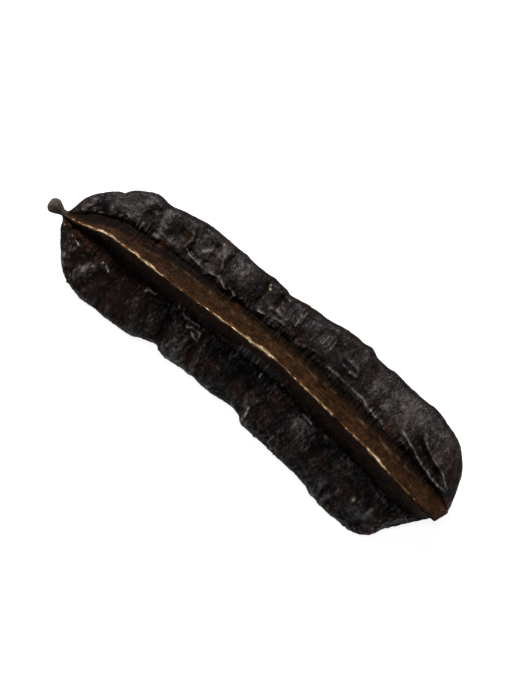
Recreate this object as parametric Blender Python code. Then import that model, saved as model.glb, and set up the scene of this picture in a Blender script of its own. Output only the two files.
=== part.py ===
"""A dried aridan pod, the winged fruit of Tetrapleura tetraptera, lying as it rests on a table.

The pod grew as one piece: a short stalk with a knobbed end, and a body with four wings along its length. Two
wings are hard, woody keels with a thin crest. The two between them are broad, fleshy and wrinkled, with a lobed
edge. The body is a loft: at each station along X, the outline runs out and back along each wing in turn.

X runs from the stalk to the tip, Z is up, and the origin is the middle of the bottom of the pod's box.
"""

import math
import random
from dataclasses import dataclass

import bmesh
import bpy
import numpy as np
from mathutils import Vector, noise

MM = 0.001

# Driving dimensions. Each list of pairs is (millimetres along X, millimetres), joined by a smooth curve.
LENGTH = 207.2 * MM
BOX_MIDDLE_Y = 5.844 * MM  # from the line that joins stalk and tip to the middle of the box
STALK_BLEND = (-96.2 * MM, -91.2 * MM)  # where the round stalk turns into the winged body
TIP_BLEND = (101.9 * MM, 103.6 * MM)  # where the body closes to a small round end
ROUND_ENDS = [
    (-103.6, 1.7), (-103.3, 2.5), (-102.4, 3.1), (-101.0, 3.3), (-99.5, 3.0), (-98.3, 2.2), (-97.2, 1.6),
    (-96.2, 1.45), (-95.2, 1.5), (103.6, 1.7),
]
CENTRE_Y = [
    (-103.6, 1.1), (-95.2, 1.3), (-86, 4.4), (-74, 7.4), (-44, 8.6), (-3, 10.2), (10, 10.6), (37, 8.4),
    (62, 6.2), (87, 2.9), (98, 2.6), (103.6, 5.4),
]
CENTRE_Z = [(-103.6, 15.6), (-95.2, 14.6), (-70, 13.9), (0, 13.7), (70, 13.6), (103.6, 12.6)]
CORE_SIZE = [
    (-103.6, 0.16), (-95.2, 0.16), (-90, 0.42), (-82, 0.72), (-70, 0.94), (-50, 1.0), (80, 1.0), (93, 0.86),
    (99, 0.62), (102, 0.36), (103.6, 0.16),
]
UPPER_CREST_Y = [
    (-95.2, 1.3), (-86.4, 3.6), (-78.2, 5.7), (-60.6, 6.8), (-44.2, 7.1), (-23.7, 8.1), (-3.2, 9.1), (6.3, 9.5),
    (16.5, 9.0), (37, 7.2), (62.4, 4.9), (71.9, 3.3), (87, 1.4), (97, 0.1), (101.4, -0.5), (103.6, 5.0),
]
UPPER_CREST_Z = [
    (-95.2, 16.2), (-90, 18.6), (-80, 23.0), (-66, 27.2), (-40, 29.0), (0, 29.3), (45, 28.9), (80, 27.3),
    (95, 24.2), (99.5, 20.4), (101.6, 17.0), (103.6, 14.2),
]
LOWER_CREST_Y = [
    (-95.2, 1.4), (-88, 4.6), (-74, 9.4), (-44, 12.2), (0, 14.4), (10, 14.8), (37, 12.8), (62, 10.4), (87, 7.0),
    (99, 5.0), (103.6, 5.4),
]
LOWER_CREST_Z = [
    (-95.2, 13.0), (-90, 9.4), (-80, 4.6), (-66, 1.6), (-52, 0.5), (-45, -0.8), (-35, -0.8), (-28, 0.5), (5, 1.0),
    (34, 0.5), (40, -0.8), (50, -0.8), (57, 0.5), (80, 2.0), (95, 4.4), (100, 7.6), (103.6, 11.8),
]
HIGH_EDGE_Y = [
    (-95.2, 2.9), (-93.4, 10.2), (-89.3, 17.6), (-83.1, 23.0), (-77, 28.3), (-68.8, 32.0), (-63.9, 31.4),
    (-56.5, 33.3), (-44.2, 35.3), (-23.7, 34.9), (-6.0, 34.8), (-3.0, 34.0), (1.5, 35.2), (15.3, 36.1),
    (26.3, 37.6), (35.5, 38.1), (41.9, 36.2), (52.2, 36.3), (62.4, 35.1), (70.6, 35.7), (80.9, 33.2),
    (87.8, 31.0), (93.2, 27.0), (97.3, 21.7), (100.1, 15.6), (102.4, 9.6), (103.6, 6.9),
]
HIGH_EDGE_Z = [
    (-95.2, 14.7), (-84, 17.4), (-66, 19.6), (-45, 18.2), (-20, 20.0), (5, 18.4), (30, 20.2), (58, 18.6),
    (84, 19.4), (98, 16.2), (103.6, 12.6),
]
LOW_EDGE_Y = [
    (-95.2, -0.3), (-93.4, -5.7), (-89.3, -10.3), (-85.2, -15.4), (-81.1, -18.9), (-76.2, -20.9), (-68.8, -22.1),
    (-56.5, -21.7), (-44.2, -20.9), (-39.3, -18.9), (-33.9, -17.4), (-27.8, -18.9), (-15.5, -17.8), (-3.2, -18.4),
    (8.3, -17.3), (15.3, -20.3), (25.5, -21.1), (39.9, -22.1), (49.3, -23.0), (59.1, -25.6), (66.5, -26.4),
    (76.8, -26.3), (82.3, -25.2), (85.4, -22.4), (88, -16.4), (91.1, -12.3), (95.6, -5.3), (99.3, -0.8),
    (102.2, 2.2), (103.6, 3.9),
]
LOW_EDGE_Z = [
    (-95.2, 14.5), (-86, 10.2), (-66, 4.6), (-40, 5.8), (-12, 4.4), (12, 5.6), (40, 4.2), (60, 1.8), (66, -0.2),
    (80, -0.2), (87, 3.4), (92, 7.0), (99, 11.0), (103.6, 12.6),
]

# The valley before each wing, as (share of the turn from the wing before, distance from the centre at full size).
VALLEYS = [(0.58, 9.4 * MM), (0.27, 10.0 * MM), (0.66, 8.3 * MM), (0.27, 9.4 * MM)]
VALLEY_LIMIT = 0.8

FLESHY_HALF_THICKNESS = 4.8 * MM
FLESHY_EDGE_THINNING = 0.5  # share of its thickness that a fleshy wing has lost where its edge rounds over
FLESHY_ROUND_SHARE = 0.15
FLESHY_THIN_END = 5 * MM  # a wing shorter than a few of these is thinner too
SHOULDER_SHARE = 0.14  # where the wall that rises from the valley turns over into the wing's face
SHOULDER_RISE = 0.45  # how much further the wing's face stands out than the foot of that wall, at most
WOODY_CREST_HALF_THICKNESS = 0.75 * MM
WOODY_FLARE = 1.35  # above 1, the flanks are hollow and flare out at the foot
WOODY_ROUND_SHARE = 0.06

SWELL_SIZE = 11 * MM
FLESHY_SWELL = 0.9 * MM
WOODY_SWELL = 0.3 * MM
KNOB_GRAIN = 1.6 * MM
KNOB_ROUGHNESS = 0.25 * MM
RELIEF_START_SHARE = 0.2
FOLD_REACH = 17 * MM  # the width of a wing's face that the folds below are drawn for
HIDDEN_FOLDS = 19
HIDDEN_FOLD_SPAN = (-84, 86)  # millimetres along X
HIDDEN_FOLD_WIDTH = 2  # millimetres
RELIEF_START = (-94 * MM, -86 * MM)  # the relief fades in and out towards the ends
RELIEF_END = (94 * MM, 102 * MM)

# Folds and dents that show from a step away, one to a line: X in millimetres and share of the way from valley to
# edge at one end, the same at the other end, then width and height in millimetres. A groove's height is negative.
HIGH_TOP_FOLDS = (
    (-88, 0.9, -84, 0.2, 1.8, -0.8),
    (-78, 1.0, -75, 0.3, 2.0, -0.9),
    (-69, 0.8, -71, 0.2, 1.9, 0.8),
    (-63.5, 1.0, -60.5, 0.05, 2.0, -1.5),
    (-54, 0.5, -53, 0.5, 3.8, -1.6),
    (-50, 0.8, -48, 0.3, 1.7, 1.2),
    (-45, 1.0, -46, 0.2, 1.7, -0.8),
    (-38, 0.6, -36, 0.4, 3.4, -1.3),
    (-33, 0.75, -34, 0.2, 1.6, 0.8),
    (-30.5, 0.05, -29.5, 1.0, 1.8, -1.2),
    (-22, 0.6, -21, 0.4, 5.5, 1.4),
    (-10.8, 0.10, -11.5, 1.0, 1.7, -1.3),
    (-3, 0.35, -4.5, 1.0, 1.7, -1.4),
    (6, 0.15, 5, 0.8, 2.2, 1.0),
    (12, 0.15, 10.5, 0.9, 2.1, -1.2),
    (23, 0.3, 21, 0.9, 2.1, 0.9),
    (33, 0.45, 34, 0.45, 2.6, 1.2),
    (38, 0.7, 46, 0.45, 2.0, 0.9),
    (44, 1.0, 47, 0.3, 2.1, -1.1),
    (56, 0.15, 53, 0.9, 2.0, -0.9),
    (63, 0.30, 96, 0.02, 2.0, 1.2),
    (72, 0.58, 95, 0.22, 1.9, 1.1),
    (74, 0.38, 93, 0.14, 2.0, -1.3),
)
LOW_TOP_FOLDS = (
    (-92, 0.1, -68, 0.12, 1.6, 0.9),
    (-84, 0.3, -78, 0.95, 2.0, -1.3),
    (-71, 0.2, -77, 0.75, 1.8, 1.1),
    (-62, 0.15, -63, 0.9, 1.9, -0.9),
    (-56, 0.1, -57, 0.8, 1.8, 0.8),
    (-48, 0.12, -45, 0.8, 2.0, 1.0),
    (-36.5, 0.0, -33.5, 1.0, 2.1, -1.5),
    (-26, 0.6, -26, 0.5, 5.0, 0.9),
    (-18, 0.1, -16, 0.95, 1.9, 1.2),
    (-12, 0.1, -13, 0.9, 1.8, -0.9),
    (-5, 0.05, -6, 0.8, 1.8, 1.0),
    (1, 0.1, 0, 0.8, 1.7, -0.8),
    (8, 0.3, 12, 1.0, 2.0, -1.4),
    (19, 0.12, 20, 0.2, 3.4, 1.3),
    (29, 0.1, 27, 0.9, 2.1, -1.0),
    (36, 0.3, 37, 0.6, 3.2, 0.9),
    (48, 0.1, 45, 0.95, 2.2, -0.9),
    (57, 0.1, 55, 1.0, 2.0, 1.1),
    (66, 0.3, 64, 0.9, 2.1, -0.8),
    (76, 0.1, 80, 0.9, 2.1, -1.1),
)


@dataclass
class Wing:
    """One wing: where its edge runs, how far it bows across, and the folds on its upper face."""

    edge_y: list
    edge_z: list
    woody: bool
    bow: float
    top_side: int = 0
    top_folds: tuple = ()


WINGS = [
    Wing(HIGH_EDGE_Y, HIGH_EDGE_Z, False, 0.6 * MM, 1, HIGH_TOP_FOLDS),
    Wing(UPPER_CREST_Y, UPPER_CREST_Z, True, 0.3 * MM),
    Wing(LOW_EDGE_Y, LOW_EDGE_Z, False, -1.0 * MM, -1, LOW_TOP_FOLDS),
    Wing(LOWER_CREST_Y, LOWER_CREST_Z, True, -0.3 * MM),
]
END_STEP = 0.72 * MM
MIDDLE_STEP = 1.92 * MM
STEP_GROWTH = (8 * MM, 26 * MM)  # distances from an end between which the stations spread out
FLESHY_SHARES = np.array([0, 0.08, 0.18, 0.36, 0.56, 0.76, 0.92, 1])
WOODY_SHARES = np.array([0, 0.28, 0.62, 0.95, 1])


def through(points, x):
    """Smooth values at x on a curve, in metres, through a few points in millimetres, without overshoot."""
    at, value = np.array(points, float).T * MM
    step = np.diff(at)
    slope = np.diff(value) / step
    same_way = slope[:-1] * slope[1:] > 0
    before, after = np.where(same_way, (slope[:-1], slope[1:]), 1)
    weight = 2 * step[1:] + step[:-1], step[1:] + 2 * step[:-1]
    inner = np.where(same_way, (weight[0] + weight[1]) / (weight[0] / before + weight[1] / after), 0)
    tangent = np.concatenate([slope[:1], inner, slope[-1:]])
    i = np.clip(np.searchsorted(at, x) - 1, 0, len(step) - 1)
    u = (np.clip(x, at[0], at[-1]) - at[i]) / step[i]
    from_start = value[i] * (2 * u**3 - 3 * u**2 + 1) + tangent[i] * step[i] * (u**3 - 2 * u**2 + u)
    return from_start + value[i + 1] * (3 * u**2 - 2 * u**3) + tangent[i + 1] * step[i] * (u**3 - u**2)


def smooth_step(value, start, end):
    """0 before start, 1 after end, and a smooth rise between them."""
    u = np.clip((value - start) / (end - start), 0, 1)
    return u * u * (3 - 2 * u)


def lesser(a, b):
    """Smoothly the lesser of two positive values."""
    return (a**-6 + b**-6) ** (-1 / 6)


def stations():
    """Places along X, close together at both ends, where the outline turns fast."""
    half = LENGTH / 2
    places = [-half]
    while places[-1] < half:
        from_end = min(places[-1] + half, half - places[-1])
        places.append(places[-1] + END_STEP + (MIDDLE_STEP - END_STEP) * smooth_step(from_end, *STEP_GROWTH))
    places = np.array(places)
    return -half + (places + half) * LENGTH / (places[-1] + half)


def half_thickness(wing, shares, length, foot):
    """Half the thickness of a wing at shares of its length. It starts at foot, where the side leaves its valley."""
    out = shares[None, :]
    if wing.woody:
        rounded = np.sqrt(np.clip((1 - out) / WOODY_ROUND_SHARE, 0, 1))
        return WOODY_CREST_HALF_THICKNESS * rounded + (foot - WOODY_CREST_HALF_THICKNESS) * (1 - out) ** WOODY_FLARE
    rounded = np.sqrt(1 - np.clip((out - 1) / FLESHY_ROUND_SHARE + 1, 0, 1) ** 2)
    grown = 1 - np.exp(-length / FLESHY_THIN_END)
    thickness = lesser(FLESHY_HALF_THICKNESS * grown, (1 + SHOULDER_RISE * grown) * foot)
    body = thickness * (1 - FLESHY_EDGE_THINNING * out**2) * rounded
    return body + (foot - thickness) * (1 - smooth_step(out, 0, SHOULDER_SHARE))


def wing_side(wing, turn, centre, edge, valley, shares):
    """One side of a wing, from its valley to its edge, at every station: an array of stations by shares by (y, z)."""
    along = edge - centre
    reach = np.linalg.norm(along, axis=1)[:, None]
    along = along / reach
    across = np.stack([-along[:, 1], along[:, 0]], axis=1)
    start = np.sum((valley - centre) * along, axis=1)[:, None]
    foot = turn * np.sum((valley - centre) * across, axis=1)[:, None]
    out = start + (reach - start) * shares[None, :]
    bow = 4 * wing.bow * (out - start) / reach * (1 - out / reach)
    off = turn * half_thickness(wing, shares, reach - start, foot) + bow
    return centre[:, None] + out[..., None] * along[:, None] + off[..., None] * across[:, None]


def centre_line(x):
    """The middle of the pod, where its wings meet, as (y, z) at every station."""
    return np.stack([through(CENTRE_Y, x), through(CENTRE_Z, x)], axis=1)


def wing_edge(wing, x):
    """The edge of a wing, as (y, z) at every station."""
    return np.stack([through(wing.edge_y, x), through(wing.edge_z, x)], axis=1)


def valley_turns(x):
    """The angle from +Y of the valley before each wing, at every station, in radians."""
    arms = [wing_edge(wing, x) - centre_line(x) for wing in WINGS]
    turns = [np.arctan2(arm[:, 1], arm[:, 0]) for arm in arms]
    sweeps = [(turns[k] - turns[k - 1]) % math.tau for k in range(len(WINGS))]
    return [turns[k - 1] + VALLEYS[k][0] * sweeps[k] for k in range(len(WINGS))]


def valley_reaches(x):
    """The distance from the centre to the valley before each wing, always less than the wings beside it reach."""
    wings = [np.linalg.norm(wing_edge(wing, x) - centre_line(x), axis=1) for wing in WINGS]
    full = [far * through(CORE_SIZE, x) / MM for _, far in VALLEYS]
    limits = [VALLEY_LIMIT * np.minimum(wings[k - 1], wings[k]) for k in range(len(WINGS))]
    return [lesser(*pair) for pair in zip(full, limits)]


def direction(turn):
    """Unit (y, z) at angles from +Y."""
    return np.stack([np.cos(turn), np.sin(turn)], axis=-1)


def lofted_outline(x):
    """The winged body's bare outline at every station, and the wing, side and share of each place round it."""
    centre = centre_line(x)
    valleys = [centre + far[:, None] * direction(turn) for turn, far in zip(valley_turns(x), valley_reaches(x))]
    sides, places = [], []
    for k, wing in enumerate(WINGS):
        shares = WOODY_SHARES if wing.woody else FLESHY_SHARES
        edge = wing_edge(wing, x)
        outward = wing_side(wing, -1, centre, edge, valleys[k], shares)
        inward = wing_side(wing, 1, centre, edge, valleys[(k + 1) % len(WINGS)], shares)
        sides += [outward, inward[:, -2:0:-1]]
        places += [(k, -1, share) for share in shares] + [(k, 1, share) for share in shares[-2:0:-1]]
    return np.concatenate(sides, axis=1), places


def round_outline(x, places):
    """The round outline of the stalk and the tip, with its points in the same order as the body's."""
    turns = valley_turns(np.clip(x, STALK_BLEND[1], TIP_BLEND[0]))
    ring = []
    for k in range(len(WINGS)):
        sweep = (turns[(k + 1) % len(WINGS)] - turns[k]) % math.tau
        count = sum(place[0] == k for place in places)
        ring += [direction(turns[k] + sweep * step / count) for step in range(count)]
    return centre_line(x)[:, None] + through(ROUND_ENDS, x)[:, None, None] * np.stack(ring, axis=1)


def outward_normals(points):
    """Unit normals of the lofted surface, facing out."""
    along = np.gradient(points, axis=0)
    around = np.roll(points, -1, axis=1) - np.roll(points, 1, axis=1)
    normals = np.cross(around, along)
    return normals / np.linalg.norm(normals, axis=2, keepdims=True)


def noise_at(points, size):
    """Smooth noise from -1 to 1 at points, with bumps about this size."""
    flat = (points / size).reshape(-1, 3)
    return np.array([noise.noise(Vector(p)) for p in flat]).reshape(points.shape[:-1])


def fold_height(x, out, reach, folds):
    """How far folds raise a wing's face, for every station x and every distance out from its valley."""
    height = np.zeros((len(x), len(out)))
    for x0, share0, x1, share1, width, rise in folds:
        start = np.array([x0 * MM, share0 * reach])
        line = np.array([x1 * MM, share1 * reach]) - start
        offset = np.stack(np.meshgrid(x, out, indexing="ij"), axis=-1) - start
        share = np.clip(offset @ line / (line @ line), 0, 1)
        distance = np.linalg.norm(offset - share[..., None] * line, axis=-1)
        height += rise * MM * np.exp(-((distance / (width * MM)) ** 2))
    return height


def hidden_folds(seed):
    """Cross folds for a face that the table side hides, evenly scattered with a seeded draw."""
    draw = random.Random(seed)
    folds = []
    for x in np.linspace(*HIDDEN_FOLD_SPAN, HIDDEN_FOLDS):
        near = (x + draw.uniform(-3, 3), draw.uniform(0.05, 0.3))
        far = (x + draw.uniform(-4, 4), draw.uniform(0.7, 1))
        folds.append((*near, *far, HIDDEN_FOLD_WIDTH, draw.choice([-1, 1]) * draw.uniform(0.8, 1.3)))
    return folds


def relief(points, x, places):
    """How far the dried skin stands out from the bare form, at every point."""
    raised = np.zeros(points.shape[:2])
    for k, wing in enumerate(WINGS):
        for side in (-1, 1):
            here = [j for j, place in enumerate(places) if place[:2] == (k, side)]
            shares = np.array([places[j][2] for j in here])
            swell = noise_at(points[:, here], SWELL_SIZE)
            if wing.woody:
                raised[:, here] = WOODY_SWELL * swell
                continue
            folds = wing.top_folds if side == wing.top_side else hidden_folds(k)
            folded = fold_height(x, shares * FOLD_REACH, FOLD_REACH, folds)
            raised[:, here] = (FLESHY_SWELL * swell + folded) * smooth_step(shares, 0, RELIEF_START_SHARE)
    faded = smooth_step(x, *RELIEF_START) * (1 - smooth_step(x, *RELIEF_END))
    return raised * faded[:, None]


def pod_points():
    """Every point of the pod's skin, by station and by place round the outline."""
    x = stations()
    body, places = lofted_outline(x)
    ends = round_outline(x, places)
    winged = (smooth_step(x, *STALK_BLEND) * (1 - smooth_step(x, *TIP_BLEND)))[:, None, None]
    outline = ends + (body - ends) * winged
    points = np.concatenate([np.broadcast_to(x[:, None, None], (*outline.shape[:2], 1)), outline], axis=2)
    raised = relief(points, x, places)
    knob = KNOB_ROUGHNESS * noise_at(points, KNOB_GRAIN) * (1 - winged[..., 0])
    points = points + (raised + knob)[..., None] * outward_normals(points)
    points[:, :, 0] = np.where(np.isin(x, [x[0], x[-1]])[:, None], x[:, None], points[:, :, 0])
    points[:, :, 1] -= BOX_MIDDLE_Y
    points[:, :, 2] = np.maximum(points[:, :, 2], 0)  # the low points press flat on the table
    return points


def build_mesh(name, points):
    """A closed mesh of the lofted skin, with each four-sided patch split along its shorter diagonal."""
    rings, around = points.shape[:2]
    mesh = bmesh.new()
    skin = [[mesh.verts.new(p) for p in ring] for ring in points]
    for i in range(rings - 1):
        for j in range(around):
            k = (j + 1) % around
            a, b, c, d = skin[i][j], skin[i][k], skin[i + 1][k], skin[i + 1][j]
            if (a.co - c.co).length < (b.co - d.co).length:
                corners = [(a, b, c), (a, c, d)]
            else:
                corners = [(a, b, d), (b, c, d)]
            for three in corners:
                mesh.faces.new(three)
    for ring, order in ((skin[0], -1), (skin[-1], 1)):
        middle = mesh.verts.new(sum((v.co for v in ring), Vector()) / around)
        for j in range(around):
            pair = (ring[j], ring[(j + 1) % around])[::order]
            mesh.faces.new((*pair, middle))
    data = bpy.data.meshes.new(name)
    mesh.to_mesh(data)
    mesh.free()
    data.shade_smooth()
    return data


def skin_material():
    """Dried pod skin: almost black brown, with a dull leathery shine."""
    material = bpy.data.materials.new("dried_pod_skin")
    material.use_nodes = True
    shader = material.node_tree.nodes["Principled BSDF"]
    shader.inputs["Base Color"].default_value = (0.024, 0.016, 0.012, 1)
    shader.inputs["Roughness"].default_value = 0.5
    shader.inputs["Metallic"].default_value = 0
    return material


def main():
    for obj in list(bpy.data.objects):
        bpy.data.objects.remove(obj)
    mesh = build_mesh("pod", pod_points())
    mesh.materials.append(skin_material())
    pod = bpy.data.objects.new("pod", mesh)
    bpy.context.scene.collection.objects.link(pod)


if __name__ == "__main__":
    main()
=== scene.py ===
"""The looks of a dried aridan pod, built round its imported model.

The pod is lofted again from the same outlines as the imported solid, with far more points. Then the finer relief is
laid on: the creases that cross its fleshy wings, the ribbed wall at their foot and the thin, worn crest of its
keels. It is laid out as an add-on: the Aridan Pod tab of the 3D view's sidebar lists the sizes and colours, and a
button for each piece.
"""

import math
import random
from dataclasses import dataclass

import bpy
import numpy as np
from mathutils import Matrix, Vector, noise


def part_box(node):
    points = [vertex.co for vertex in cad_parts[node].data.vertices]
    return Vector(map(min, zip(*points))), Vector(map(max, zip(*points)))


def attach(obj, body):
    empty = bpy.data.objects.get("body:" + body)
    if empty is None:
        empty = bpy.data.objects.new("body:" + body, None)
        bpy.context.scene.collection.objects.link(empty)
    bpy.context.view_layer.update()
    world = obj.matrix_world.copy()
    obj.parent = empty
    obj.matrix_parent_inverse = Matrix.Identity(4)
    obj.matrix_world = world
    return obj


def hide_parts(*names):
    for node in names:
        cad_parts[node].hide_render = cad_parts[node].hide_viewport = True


bl_info = {
    "name": "Aridan Pod",
    "version": (1, 0, 0),
    "blender": (4, 5, 0),
    "location": "3D View > Sidebar > Aridan Pod",
    "description": "Builds a dried aridan pod and the studio that it lies in",
    "category": "Object",
}

MM = 0.001

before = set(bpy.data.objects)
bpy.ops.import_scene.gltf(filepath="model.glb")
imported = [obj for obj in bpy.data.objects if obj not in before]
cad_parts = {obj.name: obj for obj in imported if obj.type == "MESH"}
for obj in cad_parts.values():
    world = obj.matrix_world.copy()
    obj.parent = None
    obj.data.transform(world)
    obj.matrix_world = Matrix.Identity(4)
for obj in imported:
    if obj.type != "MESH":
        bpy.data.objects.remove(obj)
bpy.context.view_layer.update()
POD_LOW, POD_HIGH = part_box("pod")
LENGTH = POD_HIGH.x - POD_LOW.x

# The pod's outlines. Each list of pairs is (millimetres along X, millimetres), joined by a smooth curve.
BOX_MIDDLE_Y = 5.844 * MM
STALK_BLEND = (-97 * MM, -93.6 * MM)
TIP_BLEND = (102.6 * MM, 103.6 * MM)
ROUND_ENDS = [
    (-103.6, 0.9), (-103.4, 1.8), (-102.9, 2.5), (-102, 3.1), (-100.9, 3.3), (-99.8, 3), (-98.9, 2.4),
    (-98.1, 1.9), (-97.3, 1.6), (-96.4, 1.5), (-95.2, 1.7), (102.6, 1.5), (103.3, 1), (103.6, 0.5),
]
CENTRE_Y = [
    (-103.6, 1.1), (-95.2, 1.3), (-86, 4.4), (-74, 7.4), (-44, 8.6), (-3, 10.2), (10, 10.6), (37, 8.4),
    (62, 6.2), (87, 2.9), (98, 2.6), (103.6, 5.4),
]
CENTRE_Z = [(-103.6, 15.6), (-95.2, 14.6), (-70, 13.9), (0, 13.7), (70, 13.6), (103.6, 12.6)]
CORE_SIZE = [
    (-103.6, 0.16), (-95.2, 0.16), (-90, 0.42), (-82, 0.72), (-70, 0.94), (-50, 1), (80, 1), (93, 0.86),
    (99, 0.62), (102, 0.36), (103.6, 0.16),
]
UPPER_CREST_Y = [
    (-95.2, 1.3), (-90, 1.9), (-84, 3.5), (-80, 4.8), (-75, 5.9), (-60.6, 6.8), (-44.2, 7.1), (-23.7, 8.1),
    (-3.2, 9.1), (6.3, 9.5), (16.5, 9), (37, 7.2), (62.4, 4.9), (71.9, 3.3), (87, 1.4), (97, 0.3), (100.2, 0.1),
    (101, 0.3), (101.5, 1.6), (102.3, 3.2), (103.6, 5.5),
]
UPPER_CREST_Z = [
    (-95.2, 16.2), (-90, 18.6), (-80, 23), (-66, 27.2), (-40, 29), (0, 29.3), (45, 28.9), (80, 27.3),
    (95, 24.2), (99.5, 20.4), (101.6, 17), (103.6, 14.2),
]
LOWER_CREST_Y = [
    (-95.2, 1.4), (-88, 4.6), (-74, 9.4), (-44, 12.2), (0, 14.4), (10, 14.8), (37, 12.8), (62, 10.4), (87, 7),
    (99, 5), (103.6, 5.4),
]
LOWER_CREST_Z = [
    (-95.2, 13), (-90, 9.4), (-80, 4.6), (-66, 1.6), (-52, 0.5), (-45, -0.8), (-35, -0.8), (-28, 0.5), (5, 1),
    (34, 0.5), (40, -0.8), (50, -0.8), (57, 0.5), (80, 2), (95, 4.4), (100, 7.6), (103.6, 11.8),
]
HIGH_EDGE_Y = [
    (-96.5, 2.5), (-95.2, 4), (-94.5, 7), (-93.4, 11.4), (-92, 14), (-89.3, 17.4), (-83.3, 22.7), (-81.7, 23.3),
    (-80.8, 24.8), (-77, 28.3), (-68.8, 32), (-63.9, 31.4), (-56.5, 33.3), (-44.2, 35.3), (-23.7, 34.9),
    (-6, 34.8), (-3, 34), (1.5, 35.2), (15.3, 36.1), (26.3, 37.6), (35.5, 38.1), (41.9, 36.2), (52.2, 36.3),
    (62.4, 35.1), (70.6, 35.7), (80.9, 33.2), (87.8, 31), (93.2, 27), (97.3, 21.7), (100.1, 15.6), (102.4, 9.6),
    (103.6, 6.9),
]
HIGH_EDGE_Z = [
    (-95.2, 14.7), (-84, 17.4), (-66, 19.6), (-45, 18.2), (-20, 20), (5, 18.4), (30, 20.2), (58, 18.6),
    (84, 19.4), (98, 16.2), (103.6, 12.6),
]
LOW_EDGE_Y = [
    (-96.5, -0.1), (-95.1, -2), (-94, -4), (-92, -6.8), (-89.3, -10.3), (-85.2, -15.4), (-81.1, -18.9),
    (-76.2, -20.9), (-68.8, -22.1), (-56.5, -21.7), (-44.2, -20.9), (-39.3, -18.9), (-33.9, -17.4),
    (-27.8, -18.9), (-15.5, -17.8), (-3.2, -18.4), (8.3, -17.3), (15.3, -20.3), (25.5, -21.1), (39.9, -22.1),
    (49.3, -23), (59.1, -25.6), (66.5, -26.4), (76.8, -26.3), (82.3, -25.2), (85.4, -22.4), (88, -16.4),
    (91.1, -12.3), (95.6, -5.3), (99.3, -0.8), (102.2, 2.2), (103.6, 3.9),
]
LOW_EDGE_Z = [
    (-95.2, 14.5), (-86, 10.2), (-66, 4.6), (-40, 5.8), (-12, 4.4), (12, 5.6), (40, 4.2), (60, 1.8), (66, -0.2),
    (80, -0.2), (87, 3.4), (92, 7), (99, 11), (103.6, 12.6),
]

# The valley before each wing: the share of the turn from the wing before, and its full distance from the centre.
VALLEYS = [(0.58, 9.4 * MM), (0.27, 10.0 * MM), (0.66, 8.3 * MM), (0.27, 9.4 * MM)]
VALLEY_LIMIT = 0.8

FLESHY_HALF_THICKNESS = 4.8 * MM
FLESHY_EDGE_THINNING = 0.5
FLESHY_ROUND_SHARE = 0.15
FLESHY_THIN_END = 5 * MM
SHOULDER_SHARE = 0.14
SHOULDER_RISE = 0.45
WOODY_CREST_HALF_THICKNESS = 0.75 * MM
WOODY_FLARE = 1.35
WOODY_ROUND_SHARE = 0.06

SWELL_SIZE = 11 * MM
FLESHY_SWELL = 0.9 * MM
WOODY_SWELL = 0.3 * MM
# Sizes of the noise that makes the fine relief: along the pod, out from the valley and across.
RIPPLE_SIZES, SWELLING_SIZES, BUNCH_SIZES = np.array([(1.9, 8, 8), (6, 9, 9), (13, 9, 12)]) * MM
NET_SIZES, FINE_NET_SIZES, RIB_SIZES = np.array([(2.2, 3, 3), (1, 1.5, 1.5), (1.4, 9, 9)]) * MM
FIBRE_SIZES, PIT_SIZES = np.array([(7, 0.9, 2), (2.4, 1.6, 3)]) * MM
BEND_SIZE = 9 * MM
BEND = np.array([2.5, 0, 0]) * MM
RIB_GROUP_SIZE = 11 * MM
RIPPLED = (0.8 * MM, 4 * MM)  # how far out from the valley the ripples set in
WRINKLED = (0, 1.2 * MM)
WALL_END = (2.4 * MM, 5 * MM)
FIBRE_DEPTH = 0.25 * MM
PIT_DEPTH = 0.5 * MM
WEAR_DEPTH = 0.3 * MM
WEAR_SIZE = 3.5 * MM
WEAR_SHARES = (0.86, 1)
KNOB_GRAIN = 1.6 * MM
KNOB_ROUGHNESS = 0.25 * MM
RELIEF_START_SHARE = 0.2
FOLD_REACH = 17 * MM
HIDDEN_FOLDS = 19
HIDDEN_FOLD_SPAN = (-84, 86)
HIDDEN_FOLD_WIDTH = 2
RELIEF_START = (-94 * MM, -86 * MM)
RELIEF_END = (94 * MM, 102 * MM)
FINE_END = (101 * MM, 103.6 * MM)
END_REACH = 3.2 * MM
END_STATIONS = 22

# The larger folds and dents. Each is its X in millimetres and its share of the way from valley to edge at one end,
# the same at the other end, then its width and height in millimetres. A groove's height is negative.
HIGH_TOP_FOLDS = (
    (-88, 0.9, -84, 0.2, 1.8, -0.6), (-78, 1, -75, 0.3, 2, -0.6), (-69, 0.8, -71, 0.2, 1.9, 0.6),
    (-63.5, 1, -60.5, 0.05, 2, -1), (-54, 0.5, -53, 0.5, 3.8, -1.1), (-50, 0.8, -48, 0.3, 1.7, 0.8),
    (-45, 1, -46, 0.2, 1.7, -0.6), (-38, 0.6, -36, 0.4, 3.4, -0.9), (-33, 0.75, -34, 0.2, 1.6, 0.6),
    (-30.5, 0.05, -29.5, 1, 1.8, -0.8), (-22, 0.6, -21, 0.4, 5.5, 1), (-10.8, 0.10, -11.5, 1, 1.7, -0.9),
    (-3, 0.35, -4.5, 1, 1.7, -1), (6, 0.15, 5, 0.8, 2.2, 0.7), (12, 0.15, 10.5, 0.9, 2.1, -0.8),
    (23, 0.3, 21, 0.9, 2.1, 0.6), (33, 0.45, 34, 0.45, 2.6, 0.8), (38, 0.7, 46, 0.45, 2, 0.6),
    (44, 1, 47, 0.3, 2.1, -0.8), (56, 0.15, 53, 0.9, 2, -0.6), (63, 0.30, 96, 0.02, 2, 0.8),
    (72, 0.58, 95, 0.22, 1.9, 0.8), (74, 0.38, 93, 0.14, 2, -0.9),
)
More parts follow.
